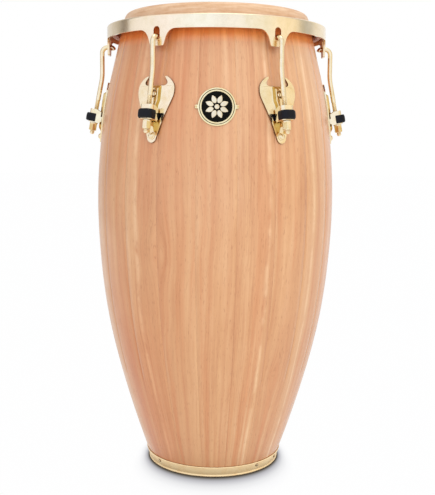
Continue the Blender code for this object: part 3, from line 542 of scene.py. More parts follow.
def lathe(name, profile, segments, closed=True, start=0.0, angles=None, radial=None, faces_mat=None):
    """Turn an (r, z) profile about Z. A pole has r = 0."""
    angs = angles or [start + TAU * i / segments for i in range(segments)]
    n = len(angs)
    verts, rings = [], []
    for k, (r, z) in enumerate(profile):
        if r < 1e-6:
            rings.append([len(verts)])
            verts.append((0, 0, z))
        else:
            ring = []
            for i, a in enumerate(angs):
                rr = r + (radial(k, i) if radial else 0.0)
                ring.append(len(verts))
                verts.append((rr * math.sin(a), -rr * math.cos(a), z))
            rings.append(ring)
    faces, bands = [], []
    pairs = list(zip(rings, rings[1:])) + ([(rings[-1], rings[0])] if closed else [])
    for k, (a, b) in enumerate(pairs):
        for i in range(n):
            j = (i + 1) % n
            if len(a) == 1 and len(b) == 1:
                continue
            if len(a) == 1:
                faces.append((a[0], b[i], b[j]))
            elif len(b) == 1:
                faces.append((a[i], a[j], b[0]))
            else:
                faces.append((a[i], a[j], b[j], b[i]))
            bands.append(k)
    me = mesh_of(name, verts, faces)
    return me


def sheet(name, columns, rows, point, present, wrap=False):
    """Curved sheet with holes: a grid of cells, front and back face, walls on every free edge."""
    verts, index, faces, edges = [], {}, [], {}
    for j in range(rows):
        for i in range(columns):
            index[i, j, 0] = len(verts)
            verts.append(point(i, j, False))
            index[i, j, 1] = len(verts)
            verts.append(point(i, j, True))
    used = set()
    for j in range(rows - 1):
        for i in range(columns if wrap else columns - 1):
            if not present(i, j):
                continue
            q = (i + 1) % columns
            c = [(i, j), (q, j), (q, j + 1), (i, j + 1)]
            faces.append([index[(*k, 0)] for k in c])
            faces.append([index[(*k, 1)] for k in reversed(c)])
            for a, b in zip(c, c[1:] + c[:1]):
                edges.setdefault(frozenset((a, b)), []).append((a, b))
    for uses in edges.values():
        if len(uses) == 1:
            a, b = uses[0]
            faces.append([index[(*b, 0)], index[(*a, 0)], index[(*a, 1)], index[(*b, 1)]])
    for f in faces:
        used.update(f)
    keep = sorted(used)
    new = {v: k for k, v in enumerate(keep)}
    return mesh_of(name, [verts[v] for v in keep], [[new[v] for v in f] for f in faces])


def extrude_outline(name, outline, vec):
    """Prism: outline is a list of 3-D points (mm) on a plane, extruded along vec (mm)."""
    n = len(outline)
    verts = [tuple(p) for p in outline] + [tuple(Vector(p) + Vector(vec)) for p in outline]
    faces = [list(range(n)), list(reversed(range(n, 2 * n)))]
    faces += [(i, i + n, (i + 1) % n + n, (i + 1) % n) for i in range(n)]
    return mesh_of(name, verts, faces)


def bake(name, mesh, *steps):
    """Apply boolean steps (operation, mesh) to a mesh and return the result."""
    ob = bpy.data.objects.new(name + "_blank", mesh)
    bpy.context.scene.collection.objects.link(ob)
    tools = []
    for k, (op, tool_mesh) in enumerate(steps):
        t = bpy.data.objects.new("%s_tool_%d" % (name, k), tool_mesh)
        bpy.context.scene.collection.objects.link(t)
        tools.append(t)
        mod = ob.modifiers.new("step%d" % k, 'BOOLEAN')
        mod.operation = op
        mod.solver = 'EXACT'
        mod.object = t
    dg = bpy.context.evaluated_depsgraph_get()
    dg.update()
    out = bpy.data.meshes.new_from_object(ob.evaluated_get(dg))
    out.name = name
    bpy.data.objects.remove(ob, do_unlink=True)
    for t in tools:
        bpy.data.objects.remove(t, do_unlink=True)
    out.materials.clear()
    bm = bmesh.new()
    bm.from_mesh(out)
    bmesh.ops.remove_doubles(bm, verts=bm.verts, dist=1e-6)
    bmesh.ops.dissolve_degenerate(bm, edges=bm.edges, dist=1e-6)
    bmesh.ops.dissolve_limit(bm, angle_limit=math.radians(0.5), verts=bm.verts, edges=bm.edges)
    bm.to_mesh(out)
    bm.free()
    return out


def on_axis(mesh, origin, direction):
    """Move a mesh made about +Z so that its Z axis runs along direction from origin (mm)."""
    d = Vector(direction).normalized()
    q = Vector((0, 0, 1)).rotation_difference(d)
    mesh.transform(Matrix.Translation(Vector(origin) * MM) @ q.to_matrix().to_4x4())
    return mesh


def arc(cx, cy, r, a0, a1, n):
    return [(cx + r * math.cos(math.radians(a0 + (a1 - a0) * k / n)),
             cy + r * math.sin(math.radians(a0 + (a1 - a0) * k / n))) for k in range(n + 1)]


shell_r = natural_spline(STAVE_TEMPLATE)


def L(r, t, z):
    return (t, -r, z)


def surf(z, off, u):
    """Point at arc u and height z on the shell, off mm outside it, measured square to the wall."""
    s = shell_r(z, 1)
    c = math.sqrt(1 + s * s)
    r, zz = shell_r(z) + off / c, z - off * s / c
    a = u / shell_r(z)
    return (r * math.sin(a), -r * math.cos(a), zz)


def bolt_dir(z, u=0.0):
    s = shell_r(z, 1)
    c = math.sqrt(1 + s * s)
    a = u / shell_r(z)
    return (math.sin(a) / c, -math.cos(a) / c, -s / c)


def wall_in(z):
    slope = shell_r(z, 1)
    return shell_r(z) - SHELL_WALL * math.sqrt(1 + slope * slope)


def turned(profile, z, u, sides=40, name="turned"):
    """A turned piece standing square on the shell at height z and arc u; profile is (radius, height off the wall)."""
    return on_axis(lathe(name, profile, sides, closed=False), surf(z, 0, u), bolt_dir(z, u))


# ------------------------------------------------------------------ shell
# every stave has its own columns, with a hair-fine glue groove at each joint
SUB = 9
GROOVE = 0.22
stave_angles, groove_at = [], []
for k in range(STAVES):
    a0 = TAU * (k - 0.5) / STAVES - math.pi
    for off, depth in ((-0.0016, 0.0), (0.0, GROOVE), (0.0016, 0.0)):
        stave_angles.append(a0 + off)
        groove_at.append(depth)
    for s in range(1, SUB):
        stave_angles.append(a0 + TAU / STAVES * s / SUB)
        groove_at.append(0.0)

outer = [(shell_r(0) - 1.2, 0.0), (shell_r(0) - 0.4, 0.35), (shell_r(1.2), 1.2)]
outer += [(shell_r(z), z) for z in list(np.linspace(4, 716, 90))]
outer += [(161.4, 722), (159.1, 730), (157.3, 734), (155.6, 738), (154.1, 743), (152.4, 748), (151.4, 751.2), (150.0, 754.2),
          (148.4, 756.6), (146.7, 758.2), (145.4, 758.9), (144.0, 758.2), (142.6, 756.2), (141.4, 753.8), (140.6, 750.5)]
n_outer = len(outer)
inner = [(143.0, 742), (146.3, 731)] + [(wall_in(z), z) for z in list(np.linspace(716, 6, 58))]
shell_profile = outer + inner + [(shell_r(0) - SHELL_WALL + 0.2, 1.0), (shell_r(0) - SHELL_WALL + 1.0, 0.0)]


def groove(k, i):
    if not groove_at[i] or k < 3 or k >= n_outer - 15:
        return 0.0
    return -groove_at[i]


shell_mesh = lathe("shell_staves", shell_profile, len(stave_angles), angles=stave_angles, radial=groove)
shell_mesh.materials.append(WOOD)
shell_mesh.materials.append(WOOD_IN)
shell_mesh.shade_smooth()
shell_mesh.set_sharp_from_angle(angle=math.radians(40))
for f in shell_mesh.polygons:
    c = f.center
    rr = math.hypot(c.x, c.y) / MM
    z = c.z / MM
    if z < 0.5 or rr < (shell_r(z) - 3.5 if z < 716 else (150.6 if z < 738 else 146.5)):
        f.material_index = 1
shell = piece("shell_staves", shell_mesh, [WOOD, WOOD_IN], "root", ["shell"])

# ------------------------------------------------------------------ head: flat, bearing edge, collar, then lapped round the hoop
HIDE_T = 1.9
lap_r = HOOP_SECTION - 0.15
outside = [(0.0, HEIGHT), (40.0, HEIGHT), (80.0, HEIGHT), (110.0, HEIGHT), (130.0, HEIGHT), (138.5, HEIGHT),
           (142.3, HEIGHT - 0.03), (144.8, HEIGHT - 0.25), (147.0, HEIGHT - 0.8), (149.1, 760.2), (150.8, 758.8), (152.1, 757.0),
           (153.2, 754.8), (154.0, 752.4), (154.7, 749.6), (155.4, 746.6), (156.3, 743.4), (157.7, 740.6),
           (160.0, 738.2), (163.2, 736.9), (166.4, 736.3)]
lap = arc(HOOP_R, HOOP_Z, lap_r, 128, -205, 30)      # over the hoop's top, outside, under it and up again
lap_in = arc(HOOP_R, HOOP_Z, lap_r - 1.7, -205, 128, 30)
inside_line = [(164.6, 734.2), (161.4, 735.1), (158.6, 737.0), (156.6, 739.4), (155.3, 741.9), (154.4, 744.6), (153.7, 747.2),
               (153.0, 749.6), (152.2, 751.9), (151.1, 754.2), (149.7, 756.2), (148.1, 757.8), (146.3, 758.9), (144.2, 759.5), (141.6, 759.9),
               (130.0, 760.0), (80.0, 760.0), (0.0, 760.0)]
head_profile = outside + lap + lap_in + inside_line
head_mesh = lathe("skin", head_profile, 224, closed=False)
skin = piece("skin", head_mesh, HIDE, None, ["drumhead"], ride=False, angle=60)
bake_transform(skin)

hoop_mesh = lathe("flesh_hoop_ring", arc(HOOP_R, HOOP_Z, lap_r - 1.85, 0, 345, 23), 192)
piece("flesh_hoop_ring", hoop_mesh, STEEL, "rim_assembly", ["flesh_hoop"])

# ------------------------------------------------------------------ rim
STATION_ARC = TAU * RIM_R / 6
ear_low = smooth_curve([(0, 694.5), (9.2, 694.5), (10.8, 694.9), (12.2, 696.6), (13.2, 699.4), (14.3, 703.0), (15.9, 707.6),
                        (18.3, 711.9), (21.4, 715.4), (25.2, 717.9), (29.5, 719.0), (34.0, RIM_BOTTOM)])
half_cols = [0, 1.1, 2.2, 3.2, 4.1, 4.8, 5.25, SLOT_HALF, 6.2, 7.2, 8.4, 9.6, 10.4, 11.1, 11.8, 12.4, 13.0, 13.6, 14.2, 15.0, 15.9,
             17.0, 18.2, 19.6, 21.2, 23.0, 25.0, 27.2, 29.6, 32.0, 34.5]
arcs = [-u for u in reversed(half_cols[1:])] + half_cols
gap_cols = 24
for k in range(1, gap_cols):
    arcs.append(34.5 + (STATION_ARC - 69.0) * k / gap_cols)
N_ST = len(arcs)
N_FLANGE, N_CORNER, N_UP, N_SLOT, N_LIP = 3, 6, 4, 6, 3
RIM_ROWS = N_FLANGE + N_CORNER + N_UP + N_SLOT + N_LIP + 1
SLOT_ROW = N_FLANGE + N_CORNER + N_UP


def rim_point(i, j, inner):
    k = i % N_ST
    st = (i // N_ST) % 6
    ang = math.radians(30 + 60 * st) + arcs[k] / RIM_R
    u = abs(arcs[k])
    low = ear_low(u) if u < 34.0 else RIM_BOTTOM
    t = RIM_SHEET if inner else 0.0
    rad = 2.4 if not inner else 1.4
    # slot arch and saddle
    if u <= SLOT_HALF + 0.01:
        dip = math.sqrt(max(SLOT_HALF ** 2 - u * u, 0.0))
        top = SLOT_TOP - SLOT_HALF + dip
        sad = SADDLE_Z + 0.9 * (u / SLOT_HALF) ** 2
    else:
        w = step(SLOT_HALF, 16.0, u)
        span = RIM_TOP - 3.0 - low
        top = (1 - w) * (SLOT_TOP - SLOT_HALF) + w * (low + span * 0.66)
        sad = (1 - w) * (SADDLE_Z + 0.9) + w * (low + span * 0.33)
        sad = max(sad, low + 1.2)
        top = max(top, sad + 1.5)
    if j <= N_FLANGE:
        f = j / N_FLANGE
        r = RIM_FLANGE_R + (RIM_R - 2.4 - RIM_FLANGE_R) * f
        z = RIM_TOP - t
        if inner:
            r = RIM_FLANGE_R + (RIM_R - RIM_SHEET - rad - RIM_FLANGE_R) * f
    elif j <= N_FLANGE + N_CORNER:
        a = math.pi / 2 * (j - N_FLANGE) / N_CORNER
        r = RIM_R - t - rad + rad * math.sin(a)
        z = RIM_TOP - t - rad + rad * math.cos(a)
    else:
        z0 = RIM_TOP - t - rad
        r = RIM_R - t
        if j <= SLOT_ROW:
            z = z0 + (top - z0) * (j - N_FLANGE - N_CORNER) / N_UP
        elif j <= SLOT_ROW + N_SLOT:
            z = top + (sad - top) * (j - SLOT_ROW) / N_SLOT
        else:
            z = sad + (low - sad) * (j - SLOT_ROW - N_SLOT) / N_LIP
    return (r * math.sin(ang), -r * math.cos(ang), z)


def rim_present(i, j):
    k = i % N_ST
    a = arcs[k]
    b = arcs[k + 1] if k + 1 < N_ST else 1e9
    return not (SLOT_ROW <= j < SLOT_ROW + N_SLOT and abs(a) <= SLOT_HALF + 0.01 and abs(b) <= SLOT_HALF + 0.01)


rim_mesh = sheet("rim_band", 6 * N_ST, RIM_ROWS, rim_point, rim_present, wrap=True)
for m in (GOLD_RIM, GOLD_INNER_SHADE):
    rim_mesh.materials.append(m)
rim_mesh.shade_smooth()
rim_mesh.set_sharp_from_angle(angle=math.radians(50))
# painted shade: the rim's inward-facing wall takes a dark orange copy of the gold
for f in rim_mesh.polygons:
    if f.normal.dot(Vector((f.center.x, f.center.y, 0)).normalized()) < -0.5 and math.hypot(f.center.x, f.center.y) > 0.1776:
        f.material_index = 1
piece("rim_band", rim_mesh, [GOLD_RIM, GOLD_INNER_SHADE], "rim_assembly", ["rim"], bevel=0.55, segments=3, angle=50)

# ------------------------------------------------------------------ foot band with a rolled lower lip
band_off = GAP + BAND_SHEET


def bo(z):
    return shell_r(z) + band_off


lip = [(bo(0) + 0.9, 0.0), (bo(0) + 1.6, 0.25), (bo(0) + 1.95, 0.85), (bo(0) + 2.0, 1.5), (bo(0) + 1.8, 2.2),
       (bo(3.0) + 0.28, 2.95), (bo(3.7), 3.7)]
band_profile = [(shell_r(0) + 0.35, 0.0)] + lip + [(bo(z), z) for z in np.linspace(5.5, 17.2, 9)]
band_profile += [(bo(17.7) - 0.12, 17.75), (bo(18.0) - 0.4, 18.0), (shell_r(18.0) + 0.45, 18.0), (shell_r(17.6) + 0.15, 17.6)]
band_profile += [(shell_r(z) + 0.12, z) for z in np.linspace(15.5, 2.5, 6)]
band_mesh = lathe("foot_band", band_profile, 256)
piece("foot_band", band_mesh, GOLD_SATIN, "root", ["bottom_band"], angle=50)

# a pan-head screw with a cross recess
pan = [(0.0, band_off + 1.62), (0.8, band_off + 1.58), (1.5, band_off + 1.42), (2.1, band_off + 1.12), (2.55, band_off + 0.72),
       (2.82, band_off + 0.3), (2.9, band_off + 0.02), (2.7, band_off - 0.05), (1.2, band_off - 0.05), (1.2, -6.0), (0.0, -7.2)]
screw_body = lathe("screw", pan, 36, closed=False)
cross = []
for sx, sy in ((1.7, 0.32), (0.32, 1.7)):
    cross.append(extrude_outline("cross", [(-sx, -sy, band_off + 0.55), (sx, -sy, band_off + 0.55), (sx, sy, band_off + 0.55),
                                           (-sx, sy, band_off + 0.55)], (0, 0, 3)))
screw_mesh = bake("screw", screw_body, ('DIFFERENCE', cross[0]), ('DIFFERENCE', cross[1]))
for m in (GOLD, GOLD_EDGE_SHADE):
    screw_mesh.materials.append(m)
screw_mesh.shade_smooth()
screw_mesh.set_sharp_from_angle(angle=math.radians(30))
# painted shade: the screw's rim, underside and cross recess take the near-black gold copy, a dark ring round each head
for f in screw_mesh.polygons:
    if math.hypot(f.center.x, f.center.y) > 1.95 * MM or f.center.z < (band_off + 0.9) * MM:
        f.material_index = 1
on_axis(screw_mesh, surf(SCREW_Z, 0, 0), bolt_dir(SCREW_Z))
for label, az in BAND_SCREWS:
    piece("foot_screw_" + label, screw_mesh, [GOLD, GOLD_EDGE_SHADE], "root", ["band_screw_" + label],
          turn=math.radians(az), angle=30)

# ------------------------------------------------------------------ side plate
plate_half = smooth_curve(((549.6, 0.6), (549.9, 1.9), (550.6, 3.6), (551.8, 5.3), (553.6, 6.9), (556.4, 7.8), (562.5, 9.7), (570, 12.1),
                           (583, 16.6), (595, 21.1), (607, 26.1), (614, 29.0), (620, 31.0), (626, 31.8), (632, 31.5), (637, 29.8),
                           (641, 27.0), (644.5, 23.6), (647, 20.3), (648.3, 17.9), (648.8, 16.3)))
horn_inner = smooth_curve(((634.6, 13.2), (634.9, 15.2), (635.8, 17.6), (637.4, 19.2), (639.6, 19.7), (641.6, 18.9), (644.0, 17.2),
                           (646.4, 15.5), (648.0, 14.6), (648.8, 14.9)))
rows = sorted(set([549.6, 549.75, 550.0, 550.4, 551.0, 551.8, 552.8, 554.0, 555.5]
                  + [round(v, 3) for v in np.linspace(557.0, 583.2, 22)]
                  + [round(v, 3) for v in np.linspace(583.2, 595.2, 9)]
                  + [round(v, 3) for v in np.linspace(595.2, 615.0, 16)]
                  + [round(v, 3) for v in np.linspace(615.0, 634.6, 27)]
                  + [634.75, 635.0, 635.4, 635.9, 636.6, 637.4, 638.4, 639.6, 640.8, 642.0, 643.3, 644.6, 645.8, 646.8, 647.5, 648.0,
                     648.35, 648.6, 648.8]))
ROW_JAW = rows.index(634.6)


def ridge_cols(z):
    """Half widths of the channel's base and top at height z."""
    k = step(603.0, 614.0, z)
    base, top = 8.1 + 2.9 * k, 4.8 + 2.7 * k
    w = plate_half(z)
    low = 1.0 - step(574.0, 583.0, z)
    base = base + (max(w - 2.6, 0.62 * w) - base) * low
    return min(base, 0.86 * w), min(top, 0.42 * w)


def half_stations(z):
    w = plate_half(z)
    base, top = ridge_cols(z)
    if z > JAW_Z - 0.001:
        hi = horn_inner(z)
        base_c, top_c = min(base, hi - 1.0), min(top, hi - 3.0)
        edge = hi
        outer_cols = [edge + (w - edge) * f for f in (0.0, 0.25, 0.5, 0.75, 1.0)]
        return ([top_c * f for f in (0.0, 0.2, 0.4, 0.55, 0.7, 0.85, 0.95)]
                + [top_c + (base_c - top_c) * f for f in (0.05, 0.2, 0.5, 0.8, 0.95)]
                + [base_c + (edge - base_c) * f for f in (0.1, 0.28, 0.46, 0.64, 0.82)] + outer_cols)
    edge = max(w - 2.3, 0.86 * w)
    if 583.19 < z < 595.21:
        edge = w - 4.2
    edge = max(edge, base + 0.4)
    return ([top * f for f in (0.0, 0.2, 0.4, 0.55, 0.7, 0.85, 0.95)]
            + [top + (base - top) * f for f in (0.05, 0.2, 0.5, 0.8, 0.95)]
            + [base + (edge - base) * f for f in (0.1, 0.28, 0.46, 0.64, 0.82)]
            + [edge + (w - edge) * f for f in (0.0, 0.25, 0.5, 0.75, 1.0)])


N_HALF = 22
I_BASE, I_EDGE = 12, 17        # first column past the channel's foot, first column of the outer strip


def ridge_height(u, z):
    base, top = ridge_cols(z)
    side = 1.0 - min(max((u - top) / max(base - top, 0.1), 0.0), 1.0)
    side = step(0.0, 1.0, side) * 0.12 + side * 0.88
    end = min(1.0, max(0.0, (JAW_Z - 0.4 - z) / 4.2), max(0.0, (z - 566.5) / 8.5))
    end = step(0.0, 1.0, end) * 0.15 + end * 0.85
    h = RIDGE_H * side * end
    d = math.hypot(u, z - BOLT_UP_Z)
    h *= 1.0 - (1.0 - step(4.9, 6.0, d)) * (1.0 if z < 634 else 0.0)
    return h


def plate_point(i, j, inner):
    z = rows[j]
    k = i - (N_HALF - 1)
    u = half_stations(z)[abs(k)] * (1 if k >= 0 else -1)
    h = ridge_height(abs(u), z) if z < JAW_Z else 0.0
    return surf(z, GAP + h + (0.0 if inner else PLATE_SHEET), u)


def plate_present(i, j):
    z0, z1 = rows[j], rows[j + 1]
    k0, k1 = i - (N_HALF - 1), i + 1 - (N_HALF - 1)
    lo, hi = min(abs(k0), abs(k1)), max(abs(k0), abs(k1))
    if j >= ROW_JAW:
        return lo >= I_EDGE
    if z0 >= 583.19 and z1 <= 593.75 and lo >= I_BASE - 1 and hi <= I_EDGE:
        return False
    return True


plate_mesh = sheet("heart_plate", 2 * N_HALF - 1, len(rows), plate_point, plate_present)
for m in (GOLD, GOLD_WALL_SHADE, GOLD_EDGE_SHADE):
    plate_mesh.materials.append(m)
plate_mesh.shade_smooth()
plate_mesh.set_sharp_from_angle(angle=math.radians(50))
# painted shade: the plate's edge walls take the near-black gold copy, the channel walls and the strip below the bracket
# a dark gold copy
for f in plate_mesh.polygons:
    c = f.center / MM
    out = Vector((c.x, c.y, 0)).normalized()
    facing = f.normal.dot(out)
    if facing < 0.30:
        f.material_index = 2
    elif facing < 0.90 or (565.0 < c.z < 583.0 and abs(math.atan2(c.x, -c.y)) * 190 > 3.4
                           and abs(math.atan2(c.x, -c.y)) * 190 < plate_half(c.z) - 2.6):
        f.material_index = 1
# the plates at the sides keep plain gold on their edge walls and a milder painted shade on the channel walls
bright_mesh = plate_mesh.copy()
bright_mesh.materials[2] = GOLD
bright_mesh.materials[1] = GOLD_DEEP
for label, az in STATIONS:
    piece("heart_plate_" + label, bright_mesh if abs(az) == 90 else plate_mesh, [GOLD, GOLD_WALL_SHADE, GOLD_EDGE_SHADE], "root",
          ["side_plate_" + label], turn=math.radians(az), bevel=0.4, segments=2, angle=50)

# a thin black gasket lies between plate and shell, a guessed piece; it shows through the two windows and stands in for
# the shade there
gasket_rows = list(np.linspace(578.0, 600.0, 12))


def gasket_point(i, j, inner):
    z = gasket_rows[j]
    w = plate_half(z) - 1.2
    return surf(z, 0.06 if inner else 0.27, w * (i / 12.0 - 1.0))


shade_gasket_mesh = sheet("gasket", 25, len(gasket_rows), gasket_point, lambda i, j: True)
for label, az in STATIONS:
    piece("gasket_" + label, shade_gasket_mesh, RUBBER, "root", turn=math.radians(az))

# ------------------------------------------------------------------ bolts through the plate
seat = GAP + PLATE_SHEET
up_prof = [(0.0, seat + 3.6), (1.0, seat + 3.55), (2.0, seat + 3.3), (2.9, seat + 2.8), (3.7, seat + 2.1), (4.25, seat + 1.25),
           (4.5, seat + 0.7), (4.5, seat + 0.15), (4.2, seat + 0.0), (3.0, seat + 0.0), (3.0, 0.0), (0.0, 0.0)]
up_mesh = turned(up_prof, BOLT_UP_Z, 0.0, 40, "upper_bolt_head")
low_prof = [(0.0, seat + 4.2), (1.1, seat + 4.13), (2.2, seat + 3.88), (3.2, seat + 3.4), (3.9, seat + 2.75), (4.2, seat + 2.1),
            (4.25, seat + 1.5), (4.5, seat + 1.25), (5.4, seat + 1.2), (5.7, seat + 1.0), (5.8, seat + 0.7), (5.8, seat + 0.15),
            (5.5, seat + 0.0), (3.0, seat + 0.0), (3.0, 0.0), (0.0, 0.0)]
low_mesh = turned(low_prof, BOLT_LOW_Z, 0.0, 44, "lower_bolt_head")
for label, az in STATIONS:
    t = math.radians(az)
    piece("bolt_head_up_" + label, up_mesh, GOLD, "root", ["upper_bolt_" + label], turn=t, angle=40)
    piece("bolt_head_low_" + label, low_mesh, GOLD, "root", ["lower_bolt_" + label], turn=t, angle=40)
    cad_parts["backing_plate_" + label].data.materials.clear()
    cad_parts["backing_plate_" + label].data.materials.append(STEEL)

# ------------------------------------------------------------------ lug bracket
AX = Vector(L(-math.sin(LEAN), 0, math.cos(LEAN)))        # up along the shank
AO = Vector(L(math.cos(LEAN), 0, math.sin(LEAN)))         # outward, square to the shank
SEAT = Vector(L(AXIS_R0, 0, AXIS_Z0))


def C(x, y, s):
    return SEAT + AO * x + Vector((1, 0, 0)) * y + AX * s


def u_line(half, front, back, corner, n=10):
    pts = [(back, -half), (front - corner, -half)]
    pts += [(front - corner + corner * math.sin(a), -half + corner - corner * math.cos(a))
            for a in [math.pi / 2 * k / n for k in range(1, n + 1)]]
    return pts + [(x, -y) for x, y in reversed(pts)]


def u_solid(name, outer_line, inner_line, lo, hi):
    pts = outer_line + list(reversed(inner_line))
    return extrude_outline(name, [C(x, y, lo) for x, y in pts], AX * (hi - lo))


cup_walls = u_solid("cup", u_line(CUP_HALF, CUP_FRONT, -13.4, 5.5), u_line(CUP_HALF - CUP_WALL, CUP_FRONT - CUP_WALL, -13.4, 3.4),
                    0.0, CUP_HEIGHT)
cup_floor = extrude_outline("cup_floor", [C(x, y, 0.0) for x, y in u_line(CUP_HALF - 0.9, CUP_FRONT - 0.9, -6.8, 4.6)],
                            AX * CUP_FLOOR)
# the arms narrow towards the plate: a sloping upper edge, square shoulders at the windows
trim_top = extrude_outline("trim", [C(-16, -14, 11.2), C(-11.0, -14, 11.2), C(-10.4, -14, 26), C(-16, -14, 26)], (28, 0, 0))
trim_slope = extrude_outline("trim", [C(-16, -14, 19.2), C(-9.4, -14, 19.2), C(-1.5, -14, 22.9), C(-1.5, -14, 28), C(-16, -14, 28)],
                             (28, 0, 0))
trim_low = extrude_outline("trim", [C(-16, -14, -3), C(-11.2, -14, -3), C(-11.2, -14, 2.5), C(-16, -14, 2.9)], (28, 0, 0))
rod_hole = lathe("rod_hole", [(0, -2), (ROD_R + 0.6, -2), (ROD_R + 0.6, 6), (0, 6)], 32, closed=False)
on_axis(rod_hole, SEAT, AX)
cup_mesh = bake("lug_cup", cup_walls, ('UNION', cup_floor), ('DIFFERENCE', trim_top), ('DIFFERENCE', trim_slope),
                ('DIFFERENCE', trim_low), ('DIFFERENCE', rod_hole))

# ------------------------------------------------------------------ rubber bumper
def bumper():
    verts, faces, loops = [], [], []
    mid = (PAD_HIGH - PAD_LOW) / 2
    inner_line = u_line(CUP_HALF + GAP, CUP_FRONT + GAP, PAD_BACK, 5.7, 14)
    for d, h in ((2.3, 0.0), (1.55, 0.18), (0.9, 0.55), (0.42, 1.1), (0.12, 1.9), (-0.1, 3.0), (-0.25, mid)):
        loops.append((PAD_LOW + h, d))
    loops += [(PAD_LOW + PAD_HIGH - s, d) for s, d in reversed(loops[:-1])]
    n = len(inner_line)
    for s, d in loops:
        line = u_line(PAD_HALF - min(d, 0.75) * (1 if d > 0 else 0.6), PAD_FRONT - d, PAD_BACK, PAD_CORNER, 14)
        verts += [tuple(C(x, y, s)) for x, y in line] + [tuple(C(x, y, s)) for x, y in reversed(inner_line)]
    m = 2 * n
    for k in range(len(loops) - 1):
        for i in range(m):
            j = (i + 1) % m
            faces.append((k * m + i, k * m + j, (k + 1) * m + j, (k + 1) * m + i))
    for k in (0, len(loops) - 1):
        for i in range(n - 1):
            faces.append((k * m + i, k * m + i + 1, k * m + m - 2 - i, k * m + m - 1 - i))
    return mesh_of("bumper", verts, faces)


pad_mesh = bumper()
for label, az in STATIONS:
    t = math.radians(az)
    piece("lug_cup_" + label, cup_mesh, GOLD, "root", ["lug_bracket_" + label], turn=t, bevel=0.45, segments=2, angle=40)
    piece("bumper_" + label, pad_mesh, RUBBER, "root", ["shell_protector_" + label], turn=t, angle=46)

# ------------------------------------------------------------------ tuning hook with its rolled thread
PITCH = 25.4 / 18
THREAD_TOP = 38.0


def hook_line():
    """(r, z, s) points from the rod's lower end to the hook's tip; s is the height above the seat on the shank."""
    sn, cs = math.sin(LEAN), math.cos(LEAN)
    at = lambda s: (AXIS_R0 - sn * s, AXIS_Z0 + cs * s)
    knee_s = (AXIS_R0 - SHANK_R) / sn
    back = 9.0                                     # the knee is an arc that starts this far before the corner
    kr = back / math.tan(LEAN / 2)
    knee = at(knee_s)
    pts = []
    s = -ROD_END
    while s < THREAD_TOP + 1.5:
        pts.append((*at(s), s))
        s += PITCH / 6
    for s in np.linspace(THREAD_TOP + 3.0, knee_s - back - 1.0, 8):
        pts.append((*at(float(s)), float(s)))
    # arc from the leaning shank into the upright
    cx, cz = SHANK_R + kr, knee[1] + back
    for k in range(0, 7):
        a = math.pi + LEAN * (1 - k / 6)
        pts.append((cx + kr * math.cos(a), cz + kr * math.sin(a), 99.0))
    bend = 9.5
    zc = HOOK_TOP_Z - bend
    for z in np.linspace(cz + 4, zc - 3, 5):
        pts.append((SHANK_R, float(z), 99.0))
    for k in range(0, 13):
        a = math.pi / 2 * k / 12
        pts.append((SHANK_R - bend + bend * math.cos(a), zc + bend * math.sin(a), 99.0))
    pts.append((180.5, HOOK_TOP_Z, 99.0))
    for k in range(0, 8):
        a = 1.35 * k / 7
        pts.append((178.2 - 5.2 * math.sin(a), HOOK_TOP_Z - 5.2 + 5.2 * math.cos(a), 99.0))
    return pts


def hook_build(name, sides=24):
    pts = hook_line()
    n = len(pts)
    verts, faces = [], []
    for k, (r, z, s) in enumerate(pts):
        a, b = pts[max(k - 1, 0)], pts[min(k + 1, n - 1)]
        d = Vector((b[0] - a[0], b[1] - a[1])).normalized()
        nx = Vector((-d.y, d.x))
        for q in range(sides):
            ph = TAU * q / sides
            rad = ROD_R - 0.05
            if s < THREAD_TOP + 1.4:
                phase = (s / PITCH + q / sides) % 1.0
                tri = abs(phase * 2 - 1)
                tri = min(max((tri - 0.12) / 0.76, 0.0), 1.0)
                amount = step(-ROD_END + 0.6, -ROD_END + 2.6, s) * (1 - step(THREAD_TOP - 1.4, THREAD_TOP + 1.2, s))
                rad -= 0.62 * (1 - tri) * amount
                rad = min(rad, ROD_R - 0.05 - 1.5 * (1 - step(-ROD_END - 0.4, -ROD_END + 2.2, s)))
            off = rad * math.cos(ph)
            verts.append(L(r + nx.x * off, rad * math.sin(ph), z + nx.y * off))
    # rounded ends
    def cap(k, towards, steps=((0.72, 0.35), (0.32, 0.55))):
        r, z, s = pts[k]
        d = Vector((r - pts[k - towards][0], z - pts[k - towards][1])).normalized() if towards > 0 else \
            Vector((r - pts[k + 1][0], z - pts[k + 1][1])).normalized()
        base = list(range(k * sides, (k + 1) * sides))
        radius = (Vector(verts[base[0]]) - Vector(L(r, 0, z))).length
        nx = Vector((-d.y, d.x)) * (1 if towards > 0 else -1)
        prev = base
        for frac, out in steps:
            ring = []
            for q in range(sides):
                ph = TAU * q / sides
                off = radius * frac * math.cos(ph)
                ring.append(len(verts))
                cr, cz_ = r + d.x * out * radius * 0.45, z + d.y * out * radius * 0.45
                verts.append(L(cr + nx.x * off, radius * frac * math.sin(ph), cz_ + nx.y * off))
            for q in range(sides):
                faces.append((prev[q], prev[(q + 1) % sides], ring[(q + 1) % sides], ring[q]))
            prev = ring
        faces.append(prev)
    for k in range(n - 1):
        for q in range(sides):
            p = (q + 1) % sides
            faces.append((k * sides + q, k * sides + p, (k + 1) * sides + p, (k + 1) * sides + q))
    cap(0, -1)
    cap(n - 1, 1)
    me = mesh_of(name, verts, faces)
    me.transform(Matrix.Translation(-SEAT * MM))
    return me


hook_mesh = hook_build("hook")

